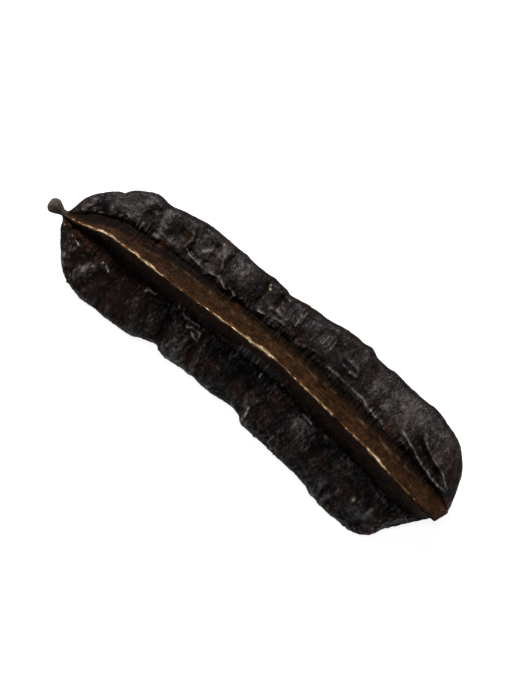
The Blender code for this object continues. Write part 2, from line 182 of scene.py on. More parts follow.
LOW_TOP_FOLDS = (
    (-92, 0.1, -68, 0.12, 1.6, 0.9), (-84, 0.3, -78, 0.95, 2, -1.3), (-71, 0.2, -77, 0.75, 1.8, 1.1),
    (-62, 0.15, -63, 0.9, 1.9, -0.9), (-56, 0.1, -57, 0.8, 1.8, 0.8), (-48, 0.12, -45, 0.8, 2, 1),
    (-36.5, 0, -33.5, 1, 2.1, -1.5), (-26, 0.6, -26, 0.5, 5, 0.9), (-18, 0.1, -16, 0.95, 1.9, 1.2),
    (-12, 0.1, -13, 0.9, 1.8, -0.9), (-5, 0.05, -6, 0.8, 1.8, 1), (1, 0.1, 0, 0.8, 1.7, -0.8),
    (8, 0.3, 12, 1, 2, -1.4), (19, 0.12, 20, 0.2, 3.4, 1.3), (29, 0.1, 27, 0.9, 2.1, -1),
    (36, 0.3, 37, 0.6, 3.2, 0.9), (48, 0.1, 45, 0.95, 2.2, -0.9), (57, 0.1, 55, 1, 2, 1.1),
    (66, 0.3, 64, 0.9, 2.1, -0.8), (76, 0.1, 80, 0.9, 2.1, -1.1),
)

# Finer marks, as they lie seen from above. Each is its width and height in millimetres, then the points that its
# line runs through, as (X, Y) in millimetres. A single point is a round bump, or a dent if its height is negative.
HIGH_TOP_MARKS = (
    (0.9, 1, (-88.8, 7.6), (-90.5, 1.4)), (2.6, -1.2, (-84.8, 5.6)), (0.6, 0.5, (-88.3, 10.8), (-88.7, 9)),
    (0.7, 0.7, (-81.6, 9.6), (-80.9, 6.4)), (0.8, 0.4, (-85.2, 10.8), (-84.2, 10)),
    (0.5, 0.5, (-77.2, 11.1), (-73.5, 11)), (0.6, 0.5, (-74, 11), (-74.4, 8.8)), (2.6, 0.5, (-71.3, 18.9)),
    (1.6, -0.6, (-67.8, 16.8), (-66.8, 20)), (0.5, 0.5, (-69.9, 13), (-69.4, 8.2)),
    (0.5, 0.6, (-67.8, 12.4), (-67.4, 8.8)), (0.5, 0.5, (-65.3, 13.4), (-64.9, 9.8)),
    (1.5, -0.4, (-64.2, 24.4), (-63.2, 16), (-63.4, 9.4)), (2, 0.8, (-61.8, 22), (-60.6, 13)),
    (1.2, 1, (-62.8, 8.2), (-58.8, 12.4)), (0.5, 0.6, (-58.7, 13.9), (-55.6, 13.1), (-53.8, 14)),
    (3.4, -0.6, (-52, 18.4)), (0.7, 0.8, (-51.4, 23.2), (-48.9, 21.8), (-47.9, 19.2), (-49.3, 15.2)),
    (0.6, 0.4, (-54.6, 22.8), (-51.4, 21.8)), (0.5, 0.5, (-46.7, 25.6), (-46.3, 20.4)),
    (0.5, 0.5, (-44.4, 24.4), (-44.8, 20.4)), (1.8, 0.8, (-40.6, 19.6), (-39.6, 21.6)),
    (2.2, 0.8, (-35.8, 21.8)), (0.8, 0.7, (-36.4, 25.2), (-33.4, 22.6), (-30.9, 17.5)),
    (0.7, -0.4, (-38.4, 24), (-38, 20)), (0.6, -0.7, (-46, 16), (-40.5, 15.9), (-37.5, 16.8)),
    (0.45, 0.8, (-47.2, 15.4), (-45, 14.6), (-40.5, 14), (-37.8, 13.7)), (0.6, 0.5, (-35.9, 12.6)),
    (0.5, 0.8, (-34.4, 14), (-30.9, 14.9)), (0.45, 0.6, (-30, 15), (-29.8, 13)),
    (0.45, 0.8, (-28.2, 14.1), (-25.2, 13)), (0.45, 0.8, (-24, 13.9), (-20.5, 13.8)),
    (0.45, 0.7, (-20.9, 13.2), (-20.8, 11.8)), (0.5, 0.5, (-18.2, 13.7), (-17.4, 14.4)),
    (0.45, 0.7, (-13.6, 13.4), (-13.5, 12)), (0.6, 0.6, (-11.3, 17), (-11.2, 13.2)),
    (0.5, 0.8, (-9.4, 14.4), (-6.3, 14.9)), (0.7, 0.8, (-7, 17.4), (-5.2, 18.9), (-3, 19), (1.8, 18.5)),
    (0.5, 0.6, (-4, 15.9), (-0.6, 16.6), (2.9, 16.7)), (0.5, 0.5, (-3.2, 12.8), (1.8, 14.1)),
    (0.9, -0.3, (-30.7, 28.4), (-30.2, 16.8)), (5, 0.7, (-24.2, 21.4)),
    (0.6, 0.35, (-20.9, 23.4), (-19.4, 19.4)),
    (0.7, -0.35, (-12.7, 27), (-10.7, 22.6), (-11.6, 18.6), (-11.3, 14.8)),
    (0.7, -0.3, (-4.4, 28.2), (-4, 24.2)), (1, 0.4, (-1.8, 21.3)), (0.7, 0.6, (2.2, 25.4), (2, 18.8)),
    (0.5, 0.8, (6.1, 24.2), (6.4, 19.4)), (0.45, 0.6, (7.5, 26.3), (7.2, 21.3)),
    (0.45, 0.5, (10.2, 24.6), (9.8, 19.4)), (0.45, 0.4, (11.5, 25), (11.4, 22)),
    (0.45, 0.4, (14.9, 19.8), (15.1, 15.6)), (0.5, 0.5, (18.3, 24), (18.6, 20)),
    (0.5, 0.7, (19.6, 24.2), (19.6, 20.8)), (0.5, 0.6, (21.3, 24.5), (21.5, 20.4)),
    (0.5, 0.8, (23.3, 24.2), (23.2, 20.6)), (0.6, 0.4, (26.8, 26.4)),
    (0.6, 0.7, (31.6, 22.2), (34.2, 22.6), (37.2, 21.6), (38.6, 20)),
    (0.5, 0.8, (35.3, 18.2), (36, 18.7), (39, 19.2)), (0.5, -0.6, (30.6, 20.2), (34.6, 20), (37.6, 20.3)),
    (0.8, 0.5, (36, 29), (38, 26)), (0.5, 0.4, (41, 21), (42.4, 17)), (0.5, 0.35, (44.5, 22), (45, 18)),
    (0.5, 0.35, (47.6, 21), (47.2, 17)), (2.2, 0.7, (55.6, 16.4)), (0.45, 0.5, (53.2, 17.6), (54.6, 15)),
    (0.45, 0.5, (55.5, 15.2), (57, 16.2)), (0.5, 0.5, (60.3, 12.8), (61.3, 13.2), (62.6, 9.8)),
    (0.5, 0.6, (64.2, 12.4), (65.6, 10)), (0.45, 0.6, (66.9, 12.6), (66.8, 10.2)),
    (1.1, 0.6, (61, 21), (64.6, 19.8), (66, 16.4), (68, 13.4)),
    (0.4, 0.7, (68, 13.4), (73.5, 11.6), (82, 8.2), (88.5, 6.2), (95.6, 5.6)),
    (0.4, 0.7, (75.8, 17.2), (83, 13.5), (90, 11), (96, 7)), (1.5, -0.5, (75, 14.2), (84, 10.6), (92, 8.4)),
    (0.5, 0.6, (84, 14.2), (88, 13.6)), (1.6, -0.5, (69.6, 15.4)), (0.9, 0.5, (76.2, 19)),
    (0.45, 0.5, (15.6, 16.1), (21.4, 16.2)), (0.6, 0.6, (22.8, 14.1)), (0.6, 0.5, (26.7, 13.9)),
    (0.4, 0.7, (27, 14.9), (31, 14.8), (38, 14.3), (46.5, 13.8), (49.2, 12.7), (53.5, 11.5), (59, 10.9)),
    (0.45, 0.6, (68.4, 10.9), (73.6, 9.6)),
)
LOW_TOP_MARKS = (
    (0.5, 0.8, (-87.6, -9.4), (-85.2, -10.1), (-83.2, -11)), (0.4, 0.7, (-92.8, -8), (-88.6, -8.9)),
    (0.5, 0.6, (-82.5, -10.8), (-78, -9.9), (-74.8, -9.5)), (2.3, -1.5, (-79.2, -14.2)),
    (1, 1.2, (-73, -13.6), (-74.8, -16.8), (-77.8, -19.6)), (0.7, 0.6, (-72, -16.6), (-76.3, -19.2)),
    (0.8, 0.8, (-77.9, -19.6), (-78.3, -25.4)), (0.5, 0.8, (-71.8, -10.6), (-69.2, -9.9), (-67, -11.6)),
    (0.8, 0.7, (-60.3, -8.8), (-59, -14.2)), (0.5, 0.4, (-64, -9.6), (-63.2, -11.4)),
    (0.45, 1, (-50, -8.3), (-49.4, -7), (-46.3, -6.4)), (0.5, 0.6, (-44.6, -6.2)),
    (0.6, 0.4, (-84.8, -19), (-82.6, -20.8)), (0.5, 0.4, (-82.6, -18.8), (-80.4, -20.6)),
    (0.5, 1.3, (-35.6, -3.8), (-35.3, -4.8), (-31.3, -5.8), (-25.5, -5.6), (-21.7, -4.9)),
    (1, 0.8, (-20.2, -5.6)), (0.45, 0.4, (-18, -5.2), (-11, -5.9)), (0.45, 0.35, (-15, -6.8), (-10.5, -8.4)),
    (0.5, 0.8, (-27.6, -8.8), (-25.6, -7.8), (-21.6, -7.4), (-21.2, -9)),
    (0.5, 0.7, (-24.8, -9.6), (-22.5, -10.9), (-21, -10.6)), (0.9, 0.6, (-17.5, -9.8)),
    (5, 0.4, (-31, -19.5), (-22, -19.5)), (1.2, -0.5, (-36.3, -14), (-32.6, -21.8)),
    (1.3, -0.9, (-20.6, -12.2), (-17.6, -20.6)), (0.8, 0.8, (-16.6, -14.8), (-15.2, -20.4)),
    (0.9, 0.6, (-4.4, -4.9)), (0.5, 0.6, (2.2, -3.8), (2.6, -6.6)), (0.5, 0.6, (5.6, -4.2), (5.8, -6)),
    (0.5, 0.7, (7.9, -3.6), (8.2, -6)), (0.5, 0.35, (-3.6, -14.8), (-3.2, -18)),
    (0.5, 0.35, (-2, -15), (-1.8, -18)), (1.6, 0.6, (9.4, -14.4), (11.6, -19.4)),
    (0.5, 0.9, (12.9, -18.8), (14, -24.6)), (0.6, 1, (16.4, -4.8), (15.6, -7), (16, -9.2), (17.4, -10)),
    (0.6, 0.9, (18, -7.4), (18.8, -5.6), (20.4, -4.6), (24, -5), (27, -5.6)), (1.6, -0.6, (21.5, -8)),
    (0.5, 0.6, (28.6, -6.4), (31, -7)), (0.45, 0.8, (32, -6.5), (37, -7.1)),
    (1.8, 0.7, (31, -10.4), (33, -13.6)), (1.4, 0.5, (35.4, -9.8), (36.6, -12.6)),
    (0.5, 0.5, (38.6, -9), (39, -14)), (1.1, 0.9, (45, -7.5)),
    (0.4, 0.4, (47, -10.4), (54.5, -10.6), (62, -9.6), (70.5, -11), (73, -12), (86, -13.4), (92, -12.5)),
    (1, 0.5, (56.1, -11.6), (56.6, -18)), (0.5, 0.4, (53, -16), (53, -19.6)),
    (0.6, 0.7, (69.6, -20.4), (70.4, -20.9), (71.2, -20.3)), (0.9, -0.7, (58.6, -23), (59, -30.8)),
    (1.2, 0.7, (63.2, -21.4), (61, -30.8)), (1.1, 0.5, (56.6, -21.5), (56, -29)),
    (1.2, 0.8, (79.6, -20), (77.8, -24.2)), (0.9, -0.8, (87, -13.4), (83, -17.2)),
    (0.6, 0.6, (31.6, -22.6), (33.4, -27)), (0.6, 0.5, (24.8, -23), (22, -27)),
)
KEEL_RIM_MARKS = (
    (0.45, 0.15, (-62, 4.6), (-50.2, 7), (-40.5, 8.2), (-32.5, 8.2), (-22.5, 7.8), (-14, 8.2), (-5.5, 9)),
    (0.5, 0.15, (-5.5, 9), (15, 9), (37, 8.5)), (0.45, 0.25, (46, 7.2), (54.5, 6.2), (62.5, 5.2), (80, 3.2)),
    (0.4, 0.2, (-84, -2.6), (-79.6, -1.4), (-75, -1.6)), (0.4, 0.2, (-31, -1.3), (-24, -1)),
    (0.4, 0.35, (-35.9, -2.2), (-35.2, -4.4)), (0.4, 0.35, (-33.4, -2.4), (-32.8, -4.4)),
    (0.4, 0.35, (-5, 0.4), (-4.9, -2.6)), (0.4, 0.35, (-3.3, 0.4), (-3.2, -2.4)),
    (0.4, 0.35, (-2.1, 0.2), (-1.9, -3)), (0.4, 0.35, (1.7, 0.2), (1.9, -3.2)),
    (0.4, 0.35, (3.5, 0), (3.6, -2.6)), (0.4, 0.35, (7.9, 0.4), (8, -3.2)), (0.4, 0.3, (18, -0.4), (17.4, -3)),
)
KEEL_MARKS = KEEL_RIM_MARKS + (
    (0.5, 0.3, (-24.8, 9.6), (-24.9, 11.4)), (0.5, 0.4, (-22.6, 8.8), (-22.8, 10.9)),
    (0.5, 0.4, (-20.8, 8.6), (-20.8, 11.2)), (0.5, 0.3, (-12, 9), (-12.2, 11.6)),
    (0.5, 0.3, (-9.6, 8.8), (-9.8, 11.8)), (0.5, 0.4, (-5.2, 9.4), (-5.3, 12)),
    (0.5, 0.4, (-3.4, 9.4), (-3.4, 12)), (0.5, 0.3, (-1.4, 9.2), (-1.5, 12)),
    (0.5, 0.3, (2.8, 9.6), (2.8, 12.2)), (0.5, 0.3, (6.6, 9.6), (6.5, 12.4)), (0.5, 0.4, (9, 9.6), (9, 12.2)),
    (0.5, 0.4, (13.2, 9.8), (13, 12.4)), (0.5, 0.3, (15, 9.8), (15, 12.2)), (0.45, 0.4, (-69.4, 8.4), (-69, 4)),
    (0.45, 0.4, (-67.2, 7.4), (-66.8, 4.2)), (0.45, 0.4, (-65.4, 7.6), (-65, 4.4)),
    (0.45, 0.3, (-63.4, 7.8), (-63, 4.6)), (0.45, 0.3, (-77.4, 4.6), (-76.6, 2)),
    (0.45, 0.3, (-74.4, 5.6), (-73.8, 2.8)),
)

# Spots seen from above: stained; rubbed pale and lit with painted sheen (or darkened as painted shade, where the
# strength is negative); and chipped. Each is (X, Y, radius, strength), in millimetres but for the strength.
RUST_SPOTS = (
    (-57, 10.5, 1.5, 1), (-54.2, 12.6, 1, 0.7), (-50.5, 19.3, 2.2, 0.4), (-78.5, -10, 2, 0.6),
    (-72, -17, 2, 0.4), (-20.2, -5.6, 1.3, 0.5), (-14.8, -20.5, 1.6, 0.7), (-11.3, -15.2, 3, 0.2),
    (19.6, -7.6, 1.8, 0.8), (25, -5.4, 1.6, 0.5), (45, -7.5, 1.4, 0.5), (61.8, 11.4, 1.8, 0.7),
    (-38, -18, 3, 0.25), (96, 13, 3.5, 0.3), (85, -27, 2.5, 0.3), (100.5, 1, 3.5, 1), (-17, 10.6, 1.3, 0.6),
    (32.6, -25.5, 1.4, 0.4), (-36, 28, 3, 0.25), (86, 24.5, 2.5, 0.2),
)
WORN_SHEEN_SHADE_SPOTS = (
    (-76, 15, 9, 0.5), (-60, 20, 6, 0.3), (5, 26, 8, -0.3), (50, 23, 8, 0.5), (66, 23, 8, 0.65),
    (84, 21, 8, 0.45), (-62, -18, 12, -0.85), (5, -12, 12, -0.3), (60, -18, 14, -0.15), (-1, -0.6, 3, -0.9),
    (7, -0.2, 4, -0.9), (-26, -1, 8, -0.5), (-88.4, 6.6, 1.4, 0.5), (-85, 5.4, 2.6, -0.8), (-78, 15, 4, -0.2),
    (-66.5, 11, 2.4, 0.3), (-61.6, 19, 2.2, 0.3), (-59.8, 11, 1.5, 0.9), (-58, 18.5, 3, -0.2),
    (-46.5, 22, 1.6, 0.2), (-40, 19.6, 2, 0.7), (-35.4, 22.2, 3, 0.4), (-31.8, 18.6, 1.2, 0.4),
    (-24, 16.5, 4, -0.4), (-13, 18, 3, -0.2), (-8, 23.5, 3, -0.3), (-5.5, 18.4, 1.2, 0.5),
    (-1.6, 21.4, 1.2, 0.3), (6.8, 22.6, 2, 0.5), (10.5, 22.5, 1.5, 0.2), (22, 22.4, 2.2, 0.5),
    (29.5, 25.5, 3.5, -0.3), (36.5, 28, 1.4, 0.4), (35, 21.8, 2, 0.3), (28, 19, 3, -0.2), (47, 19, 3, 0.1),
    (55.5, 16.6, 1.8, 0.4), (64.5, 25, 4, 0.2), (70, 16.4, 1.8, 0.2), (77, 12.4, 4, -0.5), (88, 9.4, 3, -0.4),
    (76.4, 18.8, 1.2, 0.4), (90, 18.5, 3, 0.2), (82, 24, 3, 0.2), (-88, -13.5, 2.4, -0.2),
    (-79.6, -14, 2, -0.6), (-75.6, -16.4, 1.8, 1.2), (-78.2, -22.6, 1, 0.5), (-84, -20, 2, 0.3),
    (-60, -10.8, 1.3, 0.4), (-66, -18.5, 3, 0.2), (-70, -13, 3, -0.3), (-55, -13.5, 4, -0.3),
    (-41, -9, 4.5, -0.6), (-45.5, -15, 4, -0.5), (-38, -17, 3, -0.3), (-28, -17, 3.6, 0.1),
    (-22, -20.5, 2.4, 0.2), (-23.5, -9, 1.6, 0.5), (-17.5, -10, 0.8, 0.6), (-12, -10, 4, -0.5),
    (-9, -17, 3.5, -0.3), (-4.4, -5.6, 1.2, 0.5), (-2.6, -16.6, 1.4, 0.5), (1, -10, 4.5, -0.6),
    (4.5, -16, 3, -0.1), (8, -5.4, 1, 0.3), (10.2, -16.6, 1.6, 0.9), (12.4, -21, 1, 0.5), (12, -9, 3.5, -0.6),
    (19, -15, 4, -0.5), (18, -21.5, 3, -0.3), (24, -13, 3, -0.4), (32.5, -11, 2.6, 0.4), (30, -18, 2.4, 0.3),
    (42, -11, 3.5, -0.4), (41, -20, 4, -0.2), (50, -14, 4, -0.4), (56.4, -14, 1.2, 0.4), (56.4, -25, 1.8, 0.2),
    (61.8, -26, 1.4, 0.5), (66, -14, 5, -0.5), (73, -23, 3, 0.1), (76, -16, 4, -0.3), (78.6, -21.6, 1.4, 0.7),
    (82, -14, 3, -0.4), (85, -19.5, 1.8, 0.3),
)
PALE_SPOTS = (
    (-86.1, -18, 0.8, 0.25), (-85.6, -17.3, 0.3, 0.5), (-11.9, 25.9, 0.4, 1), (-10.9, 24.5, 0.4, 1),
    (70.4, -20.6, 0.5, 1), (44.6, -8, 0.4, 0.4),
)

# Half the width of the bare fibre along the upper crest. Where it is less than 0 the crest isn't bare.
BARE_CREST = [
    (-97, -0.3), (-93, 0), (-88, 0.2), (-83, 0.35), (-77, 0.5), (-74, 0.5), (-70, 0.25), (-66, 0.4), (-60, 0.4),
    (-55, 0.6), (-52, 0.5), (-50, 0.35), (-47, 0.2), (-44, 0.05), (-28, 0), (-25, 0.2), (-21, 0.25), (-19, 0.4),
    (-10, 0.4), (-2, 0.65), (4, 0.75), (8, 0.4), (11, 0.05), (14, 0.2), (17, 0.1), (20, 0.35), (40, 0.35),
    (42, -0.3), (45, -0.2), (47, 0.25), (58, 0.35), (61, 0.5), (65, 0.65), (68, 0.4), (73, 0.25), (75, -0.3),
    (77, 0.1), (84, 0.1), (86, -0.3), (87.5, 0.2), (89, -0.4), (103.6, -0.4),
]

# Shares of the way from valley to edge along the pod: how far up the upper keel is painted as dark as the valley's
# shade, ribbed on its lower flank and fleshy on its upper and lower flank, and how far out the low wing's foot is
# woody.
FOOT_SHADE = [
    (-95, 0.9), (-85, 0.85), (-75, 0.7), (-62, 0.6), (-50, 0.42), (-40, 0.28), (-20, 0.18), (50, 0.16),
    (65, 0.1), (90, 0.1), (103.6, 0.2),
]
LOWER_RIBS = [(-95, 0.3), (-60, 0.4), (-38, 0.5), (-10, 0.5), (-5, 0.8), (14, 0.8), (22, 0.5), (103.6, 0.5)]
UPPER_FLANK_SKIN = [(-95, -0.2), (92, -0.2), (97, 0.15), (99.5, 0.4), (101.5, 0.6), (103.6, 0.9)]
LOWER_FLANK_SKIN = [
    (-95, -0.2), (-50, -0.2), (-36, 0.15), (-8, 0.2), (-5, 0.5), (14, 0.5), (20, 0.2), (103.6, -0.2),
]
LOW_WING_FOOT = [(-95, 0.36), (-90, 0.28), (-80, 0.18), (-70, 0.16), (-58, 0.1), (-48, 0.03), (103.6, 0.03)]
OTHER_FOOT = 0.07  # the same share on the other fleshy faces
DULL_EDGE = 0.9  # the share where a wing's dull edge starts
WINGED_SHARE = 0.7  # an end has bark or shell round it where it is less winged than this

# How the stains, the painted highlights and the painted shade follow the finer marks, the crest and the stalk's
# end: glint lines along the sharpest marks, glint specks, and shade at the wings' edges and on the upper keel's
# flank by the stalk.
# The marks' widths and heights are in millimetres, as in their own lists.
LINE_WIDTH = 0.28
SHARP_WIDTH = 0.5
SHARP_HEIGHT = 0.7
CRINKLE_HEIGHT = 0.3
CREST_SHARE = 0.8
BY_STALK = (-75 * MM, -60 * MM)
GLINT_SPECKS = 1.4
SPECK_SIZES = np.array([0.9, 1.4, 1.4]) * MM
EDGE_SHADE = 0.7
EDGE_SHARES = (0.92, 1)
STALK_HALF_BROWN = 0.12
BROWN_FADE = (-40 * MM, -54 * MM)
UPPER_FLANK_SHADE = 0.5
SHADE_FADE = (-48 * MM, -22 * MM)

# Settings that several nodes share.
SMOOTH = {"interpolation_type": "SMOOTHSTEP"}
MULTIPLY = {"operation": "MULTIPLY"}
MULTIPLY_ADD = {"operation": "MULTIPLY_ADD"}
MIX_COLOURS = {"data_type": "RGBA"}

# The camera looks straight down, and the pod's axis runs down its frame from left to right.
PHOTO_WIDTH = 524
PHOTO_HEIGHT = 700
PIXEL = 0.41 * MM  # the size of one pixel at the pod
STALK_END_PIXEL = (52, 207)
TIP_PIXEL = (436, 521)
SENSOR = 36

# The studio, in metres.
KEY_PLACE = (-0.97, 1.19, 1.3)
KEY_SIZE = 0.6
TOP_PLACE = (-0.25, 0.22, 1.6)
TOP_SIZE = 0.3
FLOOR_HALF = 30


@dataclass
class Wing:
    """One wing: its edge, how far it bows across, its points a side, its wrinkling and what shows from above."""

    edge_y: list
    edge_z: list
    woody: bool
    bow: float
    below: int
    above: int
    wrinkling: float = 1
    seen: tuple = ()
    top_folds: tuple = ()
    top_marks: tuple = ()


WINGS = [
    Wing(HIGH_EDGE_Y, HIGH_EDGE_Z, False, 0.6 * MM, 20, 44, 1.0, (1,), HIGH_TOP_FOLDS, HIGH_TOP_MARKS),
    Wing(UPPER_CREST_Y, UPPER_CREST_Z, True, 0.3 * MM, 16, 16, 1.0, (-1, 1), (), KEEL_MARKS),
    Wing(LOW_EDGE_Y, LOW_EDGE_Z, False, -1.0 * MM, 44, 20, 2.0, (-1,), LOW_TOP_FOLDS, LOW_TOP_MARKS),
    Wing(LOWER_CREST_Y, LOWER_CREST_Z, True, -0.3 * MM, 9, 9),
]
KEEL = 1  # the upper keel's place in WINGS
LOW_WING = 2

# The skins' places in the mesh's list of materials.
WING_SKIN, SHELL, BARK, DULL_SKIN = range(4)


def linear(code):
    """A colour's linear red, green, blue and alpha from its sRGB hex code."""
    channels = [int(code[i : i + 2], 16) / 255 for i in (0, 2, 4)]
    return (*[c / 12.92 if c <= 0.04045 else ((c + 0.055) / 1.055) ** 2.4 for c in channels], 1.0)


def colour_property(name, description, code):
    """A colour in the panel, which starts as an sRGB hex code."""
    return bpy.props.FloatVectorProperty(
        name=name, description=description, subtype="COLOR", size=4, default=linear(code)
    )


def size_property(name, description, size):
    """A length in the panel."""
    return bpy.props.FloatProperty(
        name=name, description=description, default=size, precision=5, unit="LENGTH"
    )


class PodRelief(bpy.types.PropertyGroup):
    """Sizes of the pod's fine relief."""

    stations: bpy.props.IntProperty(
        name="Stations", description="Outlines along the pod", default=578, min=50, max=590
    )
    ripple: size_property("Ripples", "Depth of the creases that cross the fleshy wings", 0.25 * MM)
    wrinkle: size_property("Wrinkles", "Depth of the net of small wrinkles between them", 0.14 * MM)
    rib: size_property("Ribs", "Height of the ribs up the wall at the foot of a wing", 0.6 * MM)


class PodColours(bpy.types.PropertyGroup):
    """Colours of the pod's skins, with the painted shade and the painted highlights laid on them."""

    # Painted shade: the dark of the creases, also used for the keel's darkened foot.
    hollow_shade: colour_property("Hollows", "Fleshy skin in the creases", "0c0807")
    skin: colour_property("Skin", "Fleshy skin on the open faces", "211c1b")
    # Partly the folds' rubbed wear and partly a painted highlight and sheen on their tops and on the pale patches.
    rubbed: colour_property("Rubbed skin", "Fleshy skin on the folds' tops", "4a4443")
    # Painted highlight: the pale glint along the sharp folds, in place of a real reflection.
    ridge_glint: colour_property("Ridges", "Sharp folds, rubbed palest", "cbc3bc")
    rust: colour_property("Rust", "Red-brown patches of thin skin", "3a1d0e")
    shell: colour_property("Shell", "Woody keel", "28180c")
    crest: colour_property("Crest", "Bare fibre along a keel's crest", "c6b090")
    fibre: colour_property("Fibre", "Frayed fibre beside the bare crest", "6e4c29")
    # Painted shade: the keel's far side, away from the key light, and the wings' feet are given this darker colour.
    shaded: colour_property("Stained shell", "Darker side of the keel", "1d1009")
    stalk: colour_property("Stalk", "Bark of the stalk", "423828")


class StudioSettings(bpy.types.PropertyGroup):
    """The plain studio."""

    floor: colour_property("Floor", "Colour of the floor", "bababa")
    key: bpy.props.FloatProperty(name="Key light", description="Power of the key light", default=68, unit="POWER")
    top: bpy.props.FloatProperty(name="Top light", description="Power of the top light", default=4, unit="POWER")
    table: bpy.props.FloatProperty(name="Table", description="Strength of the table's light", default=1.85)
    sky: bpy.props.FloatProperty(name="Sky", description="Strength of the light from all round", default=0.04)
    distance: bpy.props.FloatProperty(
        name="Camera height", description="Height of the camera above the pod", default=0.6, unit="LENGTH"
    )


def through(points, x):
    """Smooth values at x on a curve, in metres, through a few points in millimetres, without overshoot."""
    at, value = np.array(points, float).T * MM
    step = np.diff(at)
    slope = np.diff(value) / step
    same_way = slope[:-1] * slope[1:] > 0
    before, after = np.where(same_way, (slope[:-1], slope[1:]), 1)
    weight = 2 * step[1:] + step[:-1], step[1:] + 2 * step[:-1]
    inner = np.where(same_way, (weight[0] + weight[1]) / (weight[0] / before + weight[1] / after), 0)
    tangent = np.concatenate([slope[:1], inner, slope[-1:]])
    i = np.clip(np.searchsorted(at, x) - 1, 0, len(step) - 1)
    u = (np.clip(x, at[0], at[-1]) - at[i]) / step[i]
    from_start = value[i] * (2 * u**3 - 3 * u**2 + 1) + tangent[i] * step[i] * (u**3 - 2 * u**2 + u)
    return from_start + value[i + 1] * (3 * u**2 - 2 * u**3) + tangent[i + 1] * step[i] * (u**3 - u**2)


def smooth_step(value, start, end):
    """0 before start, 1 after end, and a smooth rise between them."""
    u = np.clip((value - start) / (end - start), 0, 1)
    return u * u * (3 - 2 * u)


def lesser(a, b):
    """Smoothly the lesser of two positive values."""
    return (a**-6 + b**-6) ** (-1 / 6)


def noise_at(points, size):
    """Smooth noise, mostly from -0.6 to 0.6, with bumps of this size, or of these sizes along each axis."""
    flat = (points / size).reshape(-1, 3)
    return np.array([noise.noise(p) for p in flat.tolist()]).reshape(points.shape[:-1])


def crowded_shares(count):
    """Shares from valley to edge, closer together at both ends."""
    u = np.linspace(0, 1, count)
    return 0.6 * u + 0.4 * (1 - np.cos(math.pi * u)) / 2


def half_thickness(wing, shares, length, foot):
    """Half the thickness of a wing at shares of its length. It starts at foot, where it leaves its valley."""
    out = shares[None, :]
    if wing.woody:
        crest = WOODY_CREST_HALF_THICKNESS
        rounded = np.sqrt(np.clip((1 - out) / WOODY_ROUND_SHARE, 0, 1))
        return crest * rounded + (foot - crest) * (1 - out) ** WOODY_FLARE
    rounded = np.sqrt(1 - np.clip((out - 1) / FLESHY_ROUND_SHARE + 1, 0, 1) ** 2)
    grown = 1 - np.exp(-length / FLESHY_THIN_END)
    thickness = lesser(FLESHY_HALF_THICKNESS * grown, (1 + SHOULDER_RISE * grown) * foot)
    body = thickness * (1 - FLESHY_EDGE_THINNING * out**2) * rounded
    return body + (foot - thickness) * (1 - smooth_step(out, 0, SHOULDER_SHARE))


def wing_side(wing, turn, centre, edge, valley, shares):
    """One side of a wing, from its valley to its edge: an array of stations by shares by (y, z)."""
    along = edge - centre
    reach = np.linalg.norm(along, axis=1)[:, None]
    along = along / reach
    across = np.stack([-along[:, 1], along[:, 0]], axis=1)
    start = np.sum((valley - centre) * along, axis=1)[:, None]
    foot = turn * np.sum((valley - centre) * across, axis=1)[:, None]
    out = start + (reach - start) * shares[None, :]
    bow = 4 * wing.bow * (out - start) / reach * (1 - out / reach)
    off = turn * half_thickness(wing, shares, reach - start, foot) + bow
    return centre[:, None] + out[..., None] * along[:, None] + off[..., None] * across[:, None]


def centre_line(x):
    """The middle of the pod, where its wings meet, as (y, z) at every station."""
    return np.stack([through(CENTRE_Y, x), through(CENTRE_Z, x)], axis=1)


def wing_edge(wing, x):
    """The edge of a wing, as (y, z) at every station."""
    return np.stack([through(wing.edge_y, x), through(wing.edge_z, x)], axis=1)


def valley_turns(x):
    """The angle from +Y of the valley before each wing, at every station, in radians."""
    arms = [wing_edge(wing, x) - centre_line(x) for wing in WINGS]
    turns = [np.arctan2(arm[:, 1], arm[:, 0]) for arm in arms]
    sweeps = [(turns[k] - turns[k - 1]) % math.tau for k in range(len(WINGS))]
    return [turns[k - 1] + VALLEYS[k][0] * sweeps[k] for k in range(len(WINGS))]


def valley_reaches(x):
    """The distance from the centre to the valley before each wing, less than the wings beside it reach."""
    wings = [np.linalg.norm(wing_edge(wing, x) - centre_line(x), axis=1) for wing in WINGS]
    full = [far * through(CORE_SIZE, x) / MM for _, far in VALLEYS]
    limits = [VALLEY_LIMIT * np.minimum(wings[k - 1], wings[k]) for k in range(len(WINGS))]
    return [lesser(*pair) for pair in zip(full, limits)]


def direction(turn):
    """Unit (y, z) at angles from +Y."""
    return np.stack([np.cos(turn), np.sin(turn)], axis=-1)


def lofted_outline(x):
    """The winged body's bare outline at every station, and the wing, side and share of each place round it."""
    centre = centre_line(x)
    valleys = [centre + far[:, None] * direction(turn) for turn, far in zip(valley_turns(x), valley_reaches(x))]
    sides, places = [], []
    for k, wing in enumerate(WINGS):
        outward, inward = crowded_shares(wing.below), crowded_shares(wing.above)
        edge = wing_edge(wing, x)
        sides.append(wing_side(wing, -1, centre, edge, valleys[k], outward))
        sides.append(wing_side(wing, 1, centre, edge, valleys[(k + 1) % len(WINGS)], inward)[:, -2:0:-1])
        places += [(k, -1, share) for share in outward] + [(k, 1, share) for share in inward[-2:0:-1]]
    return np.concatenate(sides, axis=1), places


